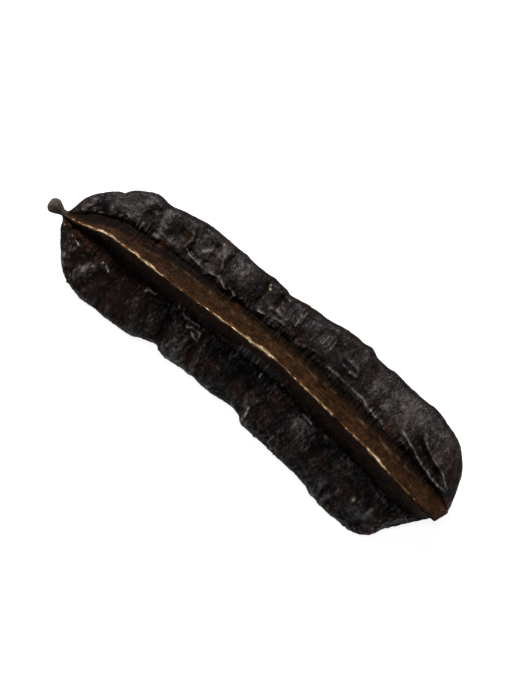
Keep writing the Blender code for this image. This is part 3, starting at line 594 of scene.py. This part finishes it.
def round_outline(x, places):
    """The round outline of the stalk and the tip, with its points in the same order as the body's."""
    turns = valley_turns(np.clip(x, STALK_BLEND[1], TIP_BLEND[0]))
    ring = []
    for k in range(len(WINGS)):
        sweep = (turns[(k + 1) % len(WINGS)] - turns[k]) % math.tau
        count = sum(place[0] == k for place in places)
        ring += [direction(turns[k] + sweep * step / count) for step in range(count)]
    return centre_line(x)[:, None] + through(ROUND_ENDS, x)[:, None, None] * np.stack(ring, axis=1)


def outward_normals(points):
    """Unit normals of the lofted surface, facing out."""
    along = np.gradient(points, axis=0)
    around = np.roll(points, -1, axis=1) - np.roll(points, 1, axis=1)
    normals = np.cross(around, along)
    return normals / np.linalg.norm(normals, axis=2, keepdims=True)


def fold_height(x, out, reach, folds):
    """How far folds raise a wing's face, for every station x and every distance out from its valley."""
    height = np.zeros((len(x), len(out)))
    for x0, share0, x1, share1, width, rise in folds:
        start = np.array([x0 * MM, share0 * reach])
        line = np.array([x1 * MM, share1 * reach]) - start
        offset = np.stack(np.meshgrid(x, out, indexing="ij"), axis=-1) - start
        share = np.clip(offset @ line / (line @ line), 0, 1)
        distance = np.linalg.norm(offset - share[..., None] * line, axis=-1)
        height += rise * MM * np.exp(-((distance / (width * MM)) ** 2))
    return height


def from_line(spots, line):
    """The distance of spots, (x, y) seen from above, from a line through points in millimetres, or one point."""
    ends = np.array(line) * MM
    if len(ends) == 1:
        return np.linalg.norm(spots - ends[0], axis=-1)
    near = np.full(spots.shape[:-1], np.inf)
    for start, end in zip(ends[:-1], ends[1:]):
        offset, run = spots - start, end - start
        share = np.clip(offset @ run / (run @ run), 0, 1)
        near = np.minimum(near, np.linalg.norm(offset - share[..., None] * run, axis=-1))
    return near


def flat(spots):
    """Spots, (x, y), as points (x, y, 0)."""
    return np.concatenate([spots, np.zeros((*spots.shape[:-1], 1))], axis=-1)


def wobbled(spots):
    """Spots, (x, y), pushed about a little, so that a line drawn through them wavers."""
    pushes = [noise_at(flat(spots) + far * MM, 3 * MM) for far in (0, 40)]
    return spots + 0.5 * MM * np.stack(pushes, axis=-1)


def mark_height(spots, marks):
    """How far the finer marks raise the skin at spots, (x, y) seen from above."""
    height = np.zeros(spots.shape[:-1])
    for width, rise, *line in marks:
        height += rise * MM * np.exp(-((from_line(spots, line) / (width * MM)) ** 2))
    return height * (0.75 + 0.9 * noise_at(flat(spots), 2.2 * MM))


def spotted(spots, marked):
    """How strongly round marks leave stains on the skin at spots, (x, y) seen from above."""
    stain_and_shade = np.zeros(spots.shape[:-1])
    for x, y, radius, strength in marked:
        stain_and_shade = np.maximum(stain_and_shade, strength * np.exp(-((from_line(spots, [(x, y)]) / (radius * MM)) ** 2)))
    return stain_and_shade


def patched(spots, patches):
    """How much rubbed patches with painted sheen make the skin paler at spots, (x, y) seen from above, and patches
    of painted shade darker where it is less than 0.
    """
    return sum(
        tone * np.exp(-((from_line(spots, [(x, y)]) / (size * MM)) ** 2)) for x, y, size, tone in patches
    )


def drawn(spots, marks, width):
    """How close spots, (x, y) seen from above, lie to the lines of marks: 1 on a line, near 0 beyond the width."""
    return np.max([np.exp(-((from_line(spots, line) / (width * MM)) ** 2)) for _, _, *line in marks], axis=0)


def sharpest(marks):
    """The narrow, high ones of the finer marks."""
    return [mark for mark in marks if mark[0] <= SHARP_WIDTH and mark[1] >= SHARP_HEIGHT]


def hidden_folds(seed):
    """Cross folds for a face that the table side hides, evenly scattered with a seeded draw."""
    draw = random.Random(seed)
    folds = []
    for x in np.linspace(*HIDDEN_FOLD_SPAN, HIDDEN_FOLDS):
        near = (x + draw.uniform(-3, 3), draw.uniform(0.05, 0.3))
        far = (x + draw.uniform(-4, 4), draw.uniform(0.7, 1))
        folds.append((*near, *far, HIDDEN_FOLD_WIDTH, draw.choice([-1, 1]) * draw.uniform(0.8, 1.3)))
    return folds


def skin_places(x, shares, k, side):
    """Where each point lies on its wing: along X, out from the valley, and a number that sets the sides apart."""
    out = np.broadcast_to(shares * FOLD_REACH, (len(x), len(shares)))
    along = np.broadcast_to(x[:, None], out.shape)
    apart = side * 0.7 * (FOLD_REACH - out) + 50 * MM * k
    return np.stack([along, out, apart], axis=-1)


def creases(value):
    """Rounded swellings with sharp creases between them, where smooth noise crosses zero."""
    return 2.4 * np.abs(value) - 0.6


def foot_ribs(place, valley):
    """Sharp ribs, crowded in groups, that run up both walls of a valley and meet in it."""
    spots = np.stack([place[..., 0], place[..., 1], np.full(place.shape[:2], 50 * MM * valley)], axis=-1)
    ribs = 0.45 - 2.2 * np.abs(noise_at(spots, RIB_SIZES))
    return ribs * (0.35 + 0.65 * smooth_step(noise_at(spots * np.array([1, 0, 1]), RIB_GROUP_SIZE), -0.25, 0.15))


def fleshy_relief(place, shares, ribs, relief):
    """Height of the fine wrinkles of a fleshy wing's skin, which shrank on to its pulp as it dried."""
    out = place[..., 1]
    bent = place + noise_at(place, BEND_SIZE)[..., None] * BEND
    bunched = smooth_step(noise_at(place + 70 * MM, BUNCH_SIZES), -0.15, 0.35)
    ripples = noise_at(bent, RIPPLE_SIZES)
    swells = noise_at(place + 11 * MM, SWELLING_SIZES)
    net = creases(noise_at(bent + 31 * MM, NET_SIZES))
    fine = creases(noise_at(bent + 57 * MM, FINE_NET_SIZES))
    on_wall = 1 - smooth_step(out, *WALL_END)
    rippled = smooth_step(out, *RIPPLED) * (1 - 0.6 * smooth_step(shares, 0.85, 1))
    wrinkled = smooth_step(out, *WRINKLED) * (1 - 0.5 * smooth_step(shares, 0.88, 1))
    ripple = relief.ripple * (ripples * bunched + swells) * rippled
    return ripple + relief.wrinkle * (net + 0.7 * fine) * wrinkled + relief.rib * ribs * on_wall


def woody_relief(place, shares, side, ribs, relief):
    """Height of the fibres along a woody keel, of the ribs at its foot and of the wear along its crest."""
    fibres = FIBRE_DEPTH * noise_at(place, FIBRE_SIZES)
    pits = PIT_DEPTH * noise_at(place + 29 * MM, PIT_SIZES)
    reach = through(FOOT_SHADE if side < 0 else LOWER_RIBS, place[..., 0]) / MM
    at_foot = 1 - smooth_step(shares, 0.6 * reach, 1.3 * reach + 0.12)
    worn = WEAR_DEPTH * noise_at(place * np.array([1, 0, 0]), WEAR_SIZE) * smooth_step(shares, *WEAR_SHARES)
    return (fibres + pits) * smooth_step(shares, 0, 0.06) + relief.rib * ribs * at_foot + worn


def relief_heights(points, x, places, relief):
    """How far the folds and swellings, and then the fine wrinkles and marks, raise the skin from the bare form."""
    coarse, fine = np.zeros(points.shape[:2]), np.zeros(points.shape[:2])
    spots = wobbled(points[..., :2] - np.array([0, BOX_MIDDLE_Y]))
    for k, wing in enumerate(WINGS):
        for side in (-1, 1):
            here = [j for j, place in enumerate(places) if place[:2] == (k, side)]
            shares = np.array([places[j][2] for j in here])
            place = skin_places(x, shares, k, side)
            ribs = foot_ribs(place, k if side < 0 else (k + 1) % len(WINGS))
            swell = noise_at(points[:, here], SWELL_SIZE)
            if wing.woody:
                coarse[:, here] = WOODY_SWELL * swell
                fine[:, here] = woody_relief(place, shares, side, ribs, relief)
            else:
                folds = wing.top_folds if side in wing.seen else hidden_folds(k)
                folded = fold_height(x, shares * FOLD_REACH, FOLD_REACH, folds)
                near_edge = 1 - 0.6 * smooth_step(shares, 0.8, 1)
                coarse[:, here] = (FLESHY_SWELL * swell + folded) * smooth_step(shares, 0, RELIEF_START_SHARE)
                coarse[:, here] *= near_edge
                fine[:, here] = wing.wrinkling * fleshy_relief(place, shares, ribs, relief)
            if side in wing.seen:
                fine[:, here] += mark_height(spots[:, here], wing.top_marks)
    faded = (smooth_step(x, *RELIEF_START) * (1 - smooth_step(x, *RELIEF_END)))[:, None]
    fine_faded = (smooth_step(x, *STALK_BLEND) * (1 - smooth_step(x, *FINE_END)))[:, None]
    return coarse * faded, fine * fine_faded


def station_line(count):
    """Where the outlines stand along the pod, closer together at both rounded ends."""
    crowded = np.linspace(0, END_REACH, END_STATIONS, endpoint=False)
    middle = np.linspace(-LENGTH / 2 + END_REACH, LENGTH / 2 - END_REACH, count - 2 * END_STATIONS)
    return np.concatenate([crowded - LENGTH / 2, middle, LENGTH / 2 - crowded[::-1]])


def pod_skin(relief):
    """Every point of the pod's skin, by station and place round it, its fine relief and how winged it is there."""
    x = station_line(relief.stations)
    body, places = lofted_outline(x)
    ends = round_outline(x, places)
    winged = (smooth_step(x, *STALK_BLEND) * (1 - smooth_step(x, *TIP_BLEND)))[:, None, None]
    outline = ends + (body - ends) * winged
    points = np.concatenate([np.broadcast_to(x[:, None, None], (*outline.shape[:2], 1)), outline], axis=2)
    coarse, fine = relief_heights(points, x, places, relief)
    knob = KNOB_ROUGHNESS * noise_at(points, KNOB_GRAIN) * (1 - winged[..., 0])
    points = points + (coarse + knob)[..., None] * outward_normals(points)
    points = points + fine[..., None] * outward_normals(points)
    points[:, :, 0] = np.clip(points[:, :, 0], -LENGTH / 2, LENGTH / 2)
    points[[0, -1], :, 0] = x[[0, -1], None]
    points[:, :, 1] -= BOX_MIDDLE_Y
    points[:, :, 2] = np.maximum(points[:, :, 2], 0)
    return points, fine, winged[:, 0, 0], places


def skin_stains_and_shade(points, places):
    """What the materials read at every point: how stained, worn and bare the skin is, how deep it lies, and where
    shade and highlights are painted.
    """
    wing, side, shares = (np.array(values) for values in zip(*places))
    keel, low_wing = wing == KEEL, wing == LOW_WING
    upper_flank, lower_flank, low_foot = keel & (side == -1), keel & (side == 1), low_wing & (side == -1)
    fleshy = np.array([not WINGS[k].woody for k in wing])
    on_top = np.array([j in WINGS[k].seen for k, j in zip(wing, side)])
    spots = points[..., :2]
    wavering = wobbled(spots)
    along = points[:, :1, 0]
    wander = 0.5 * MM * noise_at(np.stack([along, along * 0, along * 0], axis=-1), 4 * MM)
    crest = np.abs(spots[..., 1] - through(UPPER_CREST_Y, along) + BOX_MIDDLE_Y - wander)
    bare = (through(BARE_CREST, along) - crest) / MM
    reach = through(FOOT_SHADE, along) / MM
    by_stalk = 1 - smooth_step(along, *BY_STALK)
    # Painted highlight: pale glint lines along the sharpest marks, seen from above.
    sharp = [drawn(wavering, sharpest(marks), LINE_WIDTH) for marks in (HIGH_TOP_MARKS, LOW_TOP_MARKS)]
    crinkles = drawn(wavering, [mark for mark in KEEL_RIM_MARKS if mark[1] >= CRINKLE_HEIGHT], LINE_WIDTH)
    # Painted highlights: random specks on the low wing and the lower flank, the pale ones standing in for glints.
    glint_specks = GLINT_SPECKS * noise_at(points, SPECK_SIZES) * (low_wing | lower_flank)
    edge_shade = EDGE_SHADE * fleshy * smooth_step(shares, *EDGE_SHARES)
    brown = STALK_HALF_BROWN * smooth_step(along, *BROWN_FADE) * low_wing
    return {
        "rust": np.maximum(spotted(spots, RUST_SPOTS) * on_top, brown),
        "pale": spotted(spots, PALE_SPOTS) * on_top,
        # Rubbed wear with painted sheen, painted shade patches, the painted glint specks and the wings' edges
        # darkened as painted shade.
        "worn": patched(spots, WORN_SHEEN_SHADE_SPOTS) * on_top + glint_specks - edge_shade,
        # Painted highlight: the glint lines along the sharpest marks and the keel's crinkled rim.
        "ridge_glint": (0.25 * sharp[0] + 1.2 * sharp[1] + 0.3 * crinkles) * on_top,
        "depth": shares + 0.3 * by_stalk * (low_foot | lower_flank),
        "bare": np.where(keel & (shares > CREST_SHARE), bare, -1),
        "rim": (drawn(wavering, KEEL_RIM_MARKS, LINE_WIDTH) + crinkles) * on_top,
        # Painted shade: how far the keel's foot is darkened like the valley's shade; on the other wings, their
        # feet, with the low wing's foot less near the stalk.
        "stain_and_shade": np.where(keel, smooth_step(shares, reach, 0.4 * reach), 1 - by_stalk * low_foot),
        # Painted shade: 1 where the shell takes its darker shaded colour; on the upper flank, only part of it near
        # the stalk.
        "shaded": np.where(upper_flank, UPPER_FLANK_SHADE * (1 - smooth_step(along, *SHADE_FADE)), 1),
    }


def closed_faces(rings, around):
    """Four-sided faces between the rings, facing out, and a fan at each end round its middle point."""
    faces = []
    for i in range(rings - 1):
        for j in range(around):
            k = (j + 1) % around
            faces.append((i * around + j, i * around + k, (i + 1) * around + k, (i + 1) * around + j))
    first, last = rings * around, rings * around + 1
    for j in range(around):
        k = (j + 1) % around
        faces.append((k, j, first))
        faces.append(((rings - 1) * around + j, (rings - 1) * around + k, last))
    return faces


def add_values(mesh, name, kind, values):
    """Keeps a value for each vertex under a name that the materials read."""
    field = "value" if kind == "FLOAT" else "vector"
    mesh.attributes.new(name, kind, "POINT").data.foreach_set(field, np.asarray(values, np.float32).ravel())


def set_inputs(tree, node, inputs):
    """Gives each input a value, or a link from a socket or from the first output in use of another node."""
    for name, value in inputs.items():
        if isinstance(value, bpy.types.Node):
            value = next(socket for socket in value.outputs if socket.enabled)
        if isinstance(value, bpy.types.NodeSocket):
            tree.links.new(value, node.inputs[name])
        else:
            node.inputs[name].default_value = value


def add_node(tree, kind, settings, inputs):
    """Adds a node with its settings and inputs."""
    node = tree.nodes.new("ShaderNode" + kind)
    for name, value in settings.items():
        setattr(node, name, value)
    set_inputs(tree, node, inputs)
    return node


def new_material(name):
    """An empty material, its node tree and its Principled shader."""
    material = bpy.data.materials.new(name)
    material.use_nodes = True
    return material, material.node_tree, material.node_tree.nodes["Principled BSDF"]


def dried_skin(colours, name, specular):
    """Fruit skin dried on to its pulp: dark as a prune, waxy, half glossy, with painted shade in its creases and
    its folds' tops paler, partly rubbed and partly painted highlight.
    """
    material, tree, shader = new_material(name)
    at = add_node(tree, "TexCoord", {}, {}).outputs["Object"]
    place = add_node(tree, "Attribute", {"attribute_name": "skin_place"}, {}).outputs["Vector"]
    fine, rust, pale, tones, ridge_glint = (
        add_node(tree, "Attribute", {"attribute_name": field}, {}).outputs["Fac"]
        for field in ("fine_relief", "rust", "pale", "worn", "ridge_glint")
    )
    mottle, patch, speck = (
        add_node(tree, "TexNoise", {}, {"Vector": at, "Scale": 1 / (size * MM), "Detail": detail})
        for size, detail in ((3, 6), (13, 3), (0.5, 1))
    )
    scale = [1 / (size * MM) for size in (0.9, 2.4, 2.4)]
    stretch = add_node(tree, "VectorMath", MULTIPLY, {0: place, 1: scale})
    crinkle = add_node(tree, "TexNoise", {}, {"Vector": stretch, "Scale": 1, "Detail": 4, "Distortion": 0.8})
    # The fine relief's height sets the tone: low creases take painted shade, and high folds take a paler colour
    # that is partly rubbed wear and partly painted highlight.
    height = add_node(tree, "MapRange", {}, {"Value": fine, "From Min": -0.5 * MM, "From Max": 0.7 * MM})
    speckled = add_node(tree, "Math", MULTIPLY_ADD, {0: speck, 1: 2, 2: mottle})
    uneven = add_node(tree, "Math", {"operation": "ADD"}, {0: speckled, 1: crinkle})
    relief = add_node(tree, "Math", MULTIPLY_ADD, {0: uneven, 1: 0.9, 2: height})
    # The worn value adds its rubbed patches with painted sheen, its painted shade patches, its painted glint specks
    # and the painted shade of the wings' edges.
    mixed = add_node(tree, "Math", MULTIPLY_ADD, {0: tones, 1: 0.6, 2: relief})
    open_face, rubbed, brown_patch = (
        add_node(tree, "MapRange", SMOOTH,
                 {"Value": source, "From Min": start, "From Max": end, "To Max": most})
        for source, start, end, most in (
            (mixed, 1.92, 2.42, 1), (mixed, 2.46, 2.88, 0.9), (patch, 0.5, 0.7, 0.22),
        )
    )
    rusty = add_node(tree, "Math", {"operation": "MAXIMUM"}, {0: rust, 1: brown_patch})
    broken, gloss = (
        add_node(tree, "MapRange", {},
                 {"Value": mottle, "From Min": 0.35, "From Max": end, "To Min": least, "To Max": most})
        for end, least, most in ((0.6, 0.1, 0.7), (0.65, 0.32, 0.55))
    )
    # Painted highlight: the glint along the sharp folds, broken up by the mottle.
    glint_line = add_node(tree, "Math", MULTIPLY, {0: ridge_glint, 1: broken})
    colour = colours.hollow_shade
    for share, over in (
        (open_face, colours.skin), (rusty, colours.rust), (rubbed, colours.rubbed), (glint_line, colours.ridge_glint),
        (pale, colours.crest),
    ):
        colour = add_node(tree, "Mix", MIX_COLOURS, {0: share, 6: colour, 7: over})
    bump = add_node(tree, "Bump", {}, {"Height": crinkle, "Strength": 1, "Distance": 0.25 * MM})
    set_inputs(tree, shader, {"Base Color": colour, "Roughness": gloss, "Normal": bump, "IOR": 1.45})
    shader.inputs["Specular IOR Level"].default_value = specular
    return material


def woody_shell(colours):
    """Bare woody keel, weathered: matt brown with fibres along it and pale where it is worn, with painted shade
    darkening it towards its foot, on its far side and in the ribs' grooves.
    """
    material, tree, shader = new_material("weathered_woody_shell")
    at = add_node(tree, "TexCoord", {}, {}).outputs["Object"]
    place = add_node(tree, "Attribute", {"attribute_name": "skin_place"}, {}).outputs["Vector"]
    fine, rust, depth, bareness, rim, stain_and_shade, shaded = (
        add_node(tree, "Attribute", {"attribute_name": field}, {}).outputs["Fac"]
        for field in ("fine_relief", "rust", "depth", "bare", "rim", "stain_and_shade", "shaded")
    )
    mottle, grain = (
        add_node(tree, "TexNoise", {}, {"Vector": at, "Scale": 1 / (size * MM), "Detail": detail})
        for size, detail in ((4, 5), (0.65, 3))
    )
    stretches = (
        (add_node(tree, "VectorMath", MULTIPLY, {0: place, 1: [1 / (size * MM) for size in sizes]}), detail)
        for sizes, detail in (((5, 0.6, 2), 4), ((2.2, 0.5, 0.5), 3), ((1.1, 5, 5), 3))
    )
    fibre, strands, comb = (
        add_node(tree, "TexNoise", {}, {"Vector": stretch, "Scale": 1, "Detail": detail})
        for stretch, detail in stretches
    )
    ragged = add_node(tree, "Math", MULTIPLY_ADD, {0: strands, 1: 2, 2: bareness})
    low = add_node(tree, "Math", {"operation": "ADD"}, {0: comb, 1: depth})
    spread = add_node(tree, "Math", {"operation": "ADD"}, {0: fibre, 1: stain_and_shade})
    # Painted shade: the keel darkened low down near its valley and up its foot; the crest's frayed and bare fibre
    # is its own colour.
    frayed, bare, valley_shade, foot_shade = (
        add_node(tree, "MapRange", SMOOTH,
                 {"Value": source, "From Min": start, "From Max": end, "To Max": most})
        for source, start, end, most in (
            (ragged, 0.4, 1.3, 0.6), (ragged, 1, 1.45, 0.95), (low, 0.7, 0.44, 0.93), (spread, 0.6, 1.25, 0.92),
        )
    )
    # Painted shade: the flank grows darker towards its valley, and the foot's shade is lighter on the ribs' tops.
    tones, blotch, speck, shade, faint, crest_tone, rib_groove_shade, peaks = (
        add_node(tree, "MapRange", {},
                 {"Value": source, "From Min": start, "From Max": end, "To Min": least, "To Max": most})
        for source, start, end, least, most in (
            (fibre, 0.3, 0.7, 0.25, 1.75), (mottle, 0.3, 0.7, 0.5, 1.5), (grain, 0.35, 0.65, 0.35, 1.65),
            (depth, 0.15, 0.55, 0.65, 1.15), (mottle, 0.35, 0.65, 0.01, 0.08), (mottle, 0.35, 0.65, 0.35, 1.6),
            (fine, 0, 0.25 * MM, 1, 0.2), (strands, 0.55, 0.7, 0, 0.35),
        )
    )
    # Painted shade at the valley and the foot, kept off the ribs' tops.
    black = add_node(tree, "Math", {"operation": "MAXIMUM"}, {0: valley_shade, 1: foot_shade})
    # Painted highlights: pale flecks on the shaded side of the keel stand in for glints.
    foot, rim_line, glint_flecks = (
        add_node(tree, "Math", MULTIPLY, {0: one, 1: other})
        for one, other in ((black, rib_groove_shade), (rim, faint), (shaded, peaks))
    )
    for factor in (blotch, shade, speck):
        tones = add_node(tree, "Math", MULTIPLY, {0: tones, 1: factor})
    # Painted shade: the keel's far side and the wings' feet take the darker shaded colour.
    sided = add_node(tree, "Mix", MIX_COLOURS, {0: shaded, 6: colours.shell, 7: colours.shaded})
    colour, fibrous = (
        add_node(tree, "VectorMath", {"operation": "SCALE"}, {0: base, "Scale": tone})
        for base, tone in ((sided, tones), (colours.crest[:3], crest_tone))
    )
    for share, over in (
        (rim_line, colours.crest), (foot, colours.hollow_shade), (rust, colours.rust), (glint_flecks, colours.rubbed),
        (frayed, colours.fibre), (bare, fibrous),
    ):
        colour = add_node(tree, "Mix", MIX_COLOURS, {0: share, 6: colour, 7: over})
    bump = add_node(tree, "Bump", {}, {"Height": grain, "Strength": 1, "Distance": 0.5 * MM})
    set_inputs(tree, shader, {"Base Color": colour, "Normal": bump, "Roughness": 0.75})
    shader.inputs["Specular IOR Level"].default_value = 0.03
    return material


def stalk_bark(colours):
    """Thin dry bark: dull olive grey with a fine grain, browner where it runs into the pod."""
    material, tree, shader = new_material("dry_stalk_bark")
    at = add_node(tree, "TexCoord", {}, {}).outputs["Object"]
    speckle = add_node(tree, "TexNoise", {}, {"Vector": at, "Scale": 1 / (1.1 * MM), "Detail": 5})
    along = add_node(tree, "SeparateXYZ", {}, {0: at}).outputs["X"]
    browned = add_node(tree, "MapRange", SMOOTH,
                       {"Value": along, "From Min": -101.5 * MM, "From Max": -97.5 * MM, "To Max": 0.85})
    tone = add_node(tree, "MapRange", {},
                    {"Value": speckle, "From Min": 0.35, "From Max": 0.65, "To Min": 0.1, "To Max": 1.5})
    toned = add_node(tree, "VectorMath", {"operation": "SCALE"}, {0: colours.stalk[:3], "Scale": tone})
    colour = add_node(tree, "Mix", MIX_COLOURS, {0: browned, 6: toned, 7: colours.shell})
    bump = add_node(tree, "Bump", {}, {"Height": speckle, "Strength": 1, "Distance": 0.6 * MM})
    set_inputs(tree, shader, {"Base Color": colour, "Normal": bump, "Roughness": 0.8})
    return material


class ARIDAN_OT_pod(bpy.types.Operator):
    """Builds the pod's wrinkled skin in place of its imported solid"""

    bl_idname = "aridan.pod"
    bl_label = "Pod"

    def execute(self, context):
        relief, colours = context.scene.aridan_relief, context.scene.aridan_colours
        points, fine, winged, places = pod_skin(relief)
        rings, around = points.shape[:2]
        middles = [points[0].mean(axis=0), points[-1].mean(axis=0)]
        mesh = bpy.data.meshes.new("pod_skin")
        mesh.from_pydata(np.concatenate([points.reshape(-1, 3), middles]), [], closed_faces(rings, around))
        wing, side, shares = (np.array(values) for values in zip(*places))
        x = station_line(rings)
        columns = [skin_places(x, share, k, j) for k, j, share in zip(wing, side, shares[:, None])]
        spots = np.concatenate(columns, axis=1).reshape(-1, 3)
        add_values(mesh, "fine_relief", "FLOAT", np.append(fine.ravel(), [0, 0]))
        for name, values in skin_stains_and_shade(points, places).items():
            add_values(mesh, name, "FLOAT", np.append(values.ravel(), [0, 0]))
        add_values(mesh, "skin_place", "FLOAT_VECTOR", np.append(spots, np.zeros((2, 3)), axis=0))
        for material in (
            dried_skin(colours, "dried_fruit_skin", 0.16), woody_shell(colours), stalk_bark(colours),
            dried_skin(colours, "dull_wing_edge", 0.06),
        ):
            mesh.materials.append(material)
        woody = np.array([WINGS[k].woody for k in wing])
        ragged = 0.08 * noise_at(points[:-1], 2 * MM)
        low_foot = through(LOW_WING_FOOT, x[:-1])[:, None] / MM
        foot = np.where((wing == LOW_WING) & (side == -1), low_foot, OTHER_FOOT)
        # The wings' feet take the shell, where it is painted dark as the valley's shade.
        kinds = np.where(woody | (shares < foot + ragged), SHELL, WING_SKIN)
        for flank, reach in ((-1, UPPER_FLANK_SKIN), (1, LOWER_FLANK_SKIN)):
            fleshy = shares < through(reach, x[:-1])[:, None] / MM + 1.5 * ragged
            kinds[(wing == KEEL) & (side == flank) & fleshy] = DULL_SKIN
        kinds[~woody & (shares > DULL_EDGE + ragged)] = DULL_SKIN
        round_ends = winged[:-1] < WINGED_SHARE
        kinds[round_ends & (x[:-1] <= 0)] = BARK
        kinds[round_ends & (x[:-1] > 0)] = SHELL
        caps = np.tile([BARK, SHELL], around)
        mesh.polygons.foreach_set("material_index", np.append(kinds.ravel(), caps).astype(np.int32))
        mesh.shade_smooth()
        pod = bpy.data.objects.new("pod_skin", mesh)
        context.scene.collection.objects.link(pod)
        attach(pod, "root")
        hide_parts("pod")
        return {"FINISHED"}


def add_area_light(name, place, target, size, power):
    """A square soft box at place that faces target."""
    light = bpy.data.lights.new(name, "AREA")
    light.size = size
    light.energy = power
    lamp = bpy.data.objects.new(name, light)
    lamp.location = place
    lamp.rotation_euler = (Vector(place) - Vector(target)).to_track_quat("Z", "Y").to_euler()
    bpy.context.scene.collection.objects.link(lamp)


class ARIDAN_OT_stage(bpy.types.Operator):
    """Builds the floor, the lights and the camera"""

    bl_idname = "aridan.stage"
    bl_label = "Stage"

    def execute(self, context):
        scene, studio = context.scene, context.scene.aridan_studio
        self.add_floor(scene, studio)
        middle = (0, 0, POD_HIGH.z / 2)
        add_area_light("key_softbox", KEY_PLACE, middle, KEY_SIZE, studio.key)
        add_area_light("top_softbox", TOP_PLACE, middle, TOP_SIZE, studio.top)
        world = bpy.data.worlds.new("studio_world")
        world.use_nodes = True
        background = world.node_tree.nodes["Background"]
        background.inputs["Color"].default_value = (1, 1, 1, 1)
        background.inputs["Strength"].default_value = studio.sky
        scene.world = world
        scene.view_settings.view_transform = "Standard"
        self.add_camera(scene, studio)
        return {"FINISHED"}

    def add_floor(self, scene, studio):
        """A white table lit from inside, wide enough to fill every view."""
        corners = [(x * FLOOR_HALF, y * FLOOR_HALF, 0) for x, y in ((-1, -1), (1, -1), (1, 1), (-1, 1))]
        mesh = bpy.data.meshes.new("studio_floor")
        mesh.from_pydata(corners, [], [(0, 1, 2, 3)])
        material, tree, shader = new_material("lit_white_table")
        set_inputs(tree, shader, {"Base Color": studio.floor, "Roughness": 0.9, "Emission Color": studio.floor})
        shader.inputs["Emission Strength"].default_value = studio.table
        mesh.materials.append(material)
        floor = bpy.data.objects.new("studio_floor", mesh)
        scene.collection.objects.link(floor)

    def add_camera(self, scene, studio):
        """Looks straight down, turned so that the pod lies in the frame as it does in the photograph."""
        right, down = (TIP_PIXEL[i] - STALK_END_PIXEL[i] for i in (0, 1))
        turn = math.atan2(down, right)
        across, below = PHOTO_WIDTH / 2 - STALK_END_PIXEL[0], PHOTO_HEIGHT / 2 - STALK_END_PIXEL[1]
        along = (across * math.cos(turn) + below * math.sin(turn)) * PIXEL - math.hypot(right, down) * PIXEL / 2
        beside = (across * math.sin(turn) - below * math.cos(turn)) * PIXEL - BOX_MIDDLE_Y
        data = bpy.data.cameras.new("camera")
        data.sensor_width = SENSOR
        data.lens = SENSOR * studio.distance / (PHOTO_HEIGHT * PIXEL)
        camera = bpy.data.objects.new("camera", data)
        place = Matrix.Translation((along, beside, POD_HIGH.z / 2 + studio.distance))
        camera.matrix_world = place @ Matrix.Rotation(turn, 4, "Z")
        scene.collection.objects.link(camera)
        scene.camera = camera


class ARIDAN_PT_panel(bpy.types.Panel):
    """Lists the pod's sizes and colours, and its pieces"""

    bl_idname = "ARIDAN_PT_panel"
    bl_label = "Aridan Pod"
    bl_space_type = "VIEW_3D"
    bl_region_type = "UI"
    bl_category = "Aridan Pod"

    def draw(self, context):
        scene = context.scene
        for group in (scene.aridan_relief, scene.aridan_colours, scene.aridan_studio):
            box = self.layout.box()
            for name in group.__annotations__:
                box.prop(group, name)
        self.layout.operator(ARIDAN_OT_pod.bl_idname)
        self.layout.operator(ARIDAN_OT_stage.bl_idname)


CLASSES = (PodRelief, PodColours, StudioSettings, ARIDAN_OT_pod, ARIDAN_OT_stage, ARIDAN_PT_panel)


def register():
    for cls in CLASSES:
        bpy.utils.register_class(cls)
    bpy.types.Scene.aridan_relief = bpy.props.PointerProperty(type=PodRelief)
    bpy.types.Scene.aridan_colours = bpy.props.PointerProperty(type=PodColours)
    bpy.types.Scene.aridan_studio = bpy.props.PointerProperty(type=StudioSettings)


def unregister():
    del bpy.types.Scene.aridan_relief, bpy.types.Scene.aridan_colours, bpy.types.Scene.aridan_studio
    for cls in reversed(CLASSES):
        bpy.utils.unregister_class(cls)


def main():
    register()
    bpy.ops.aridan.pod()
    bpy.ops.aridan.stage()


if __name__ == "__main__":
    main()
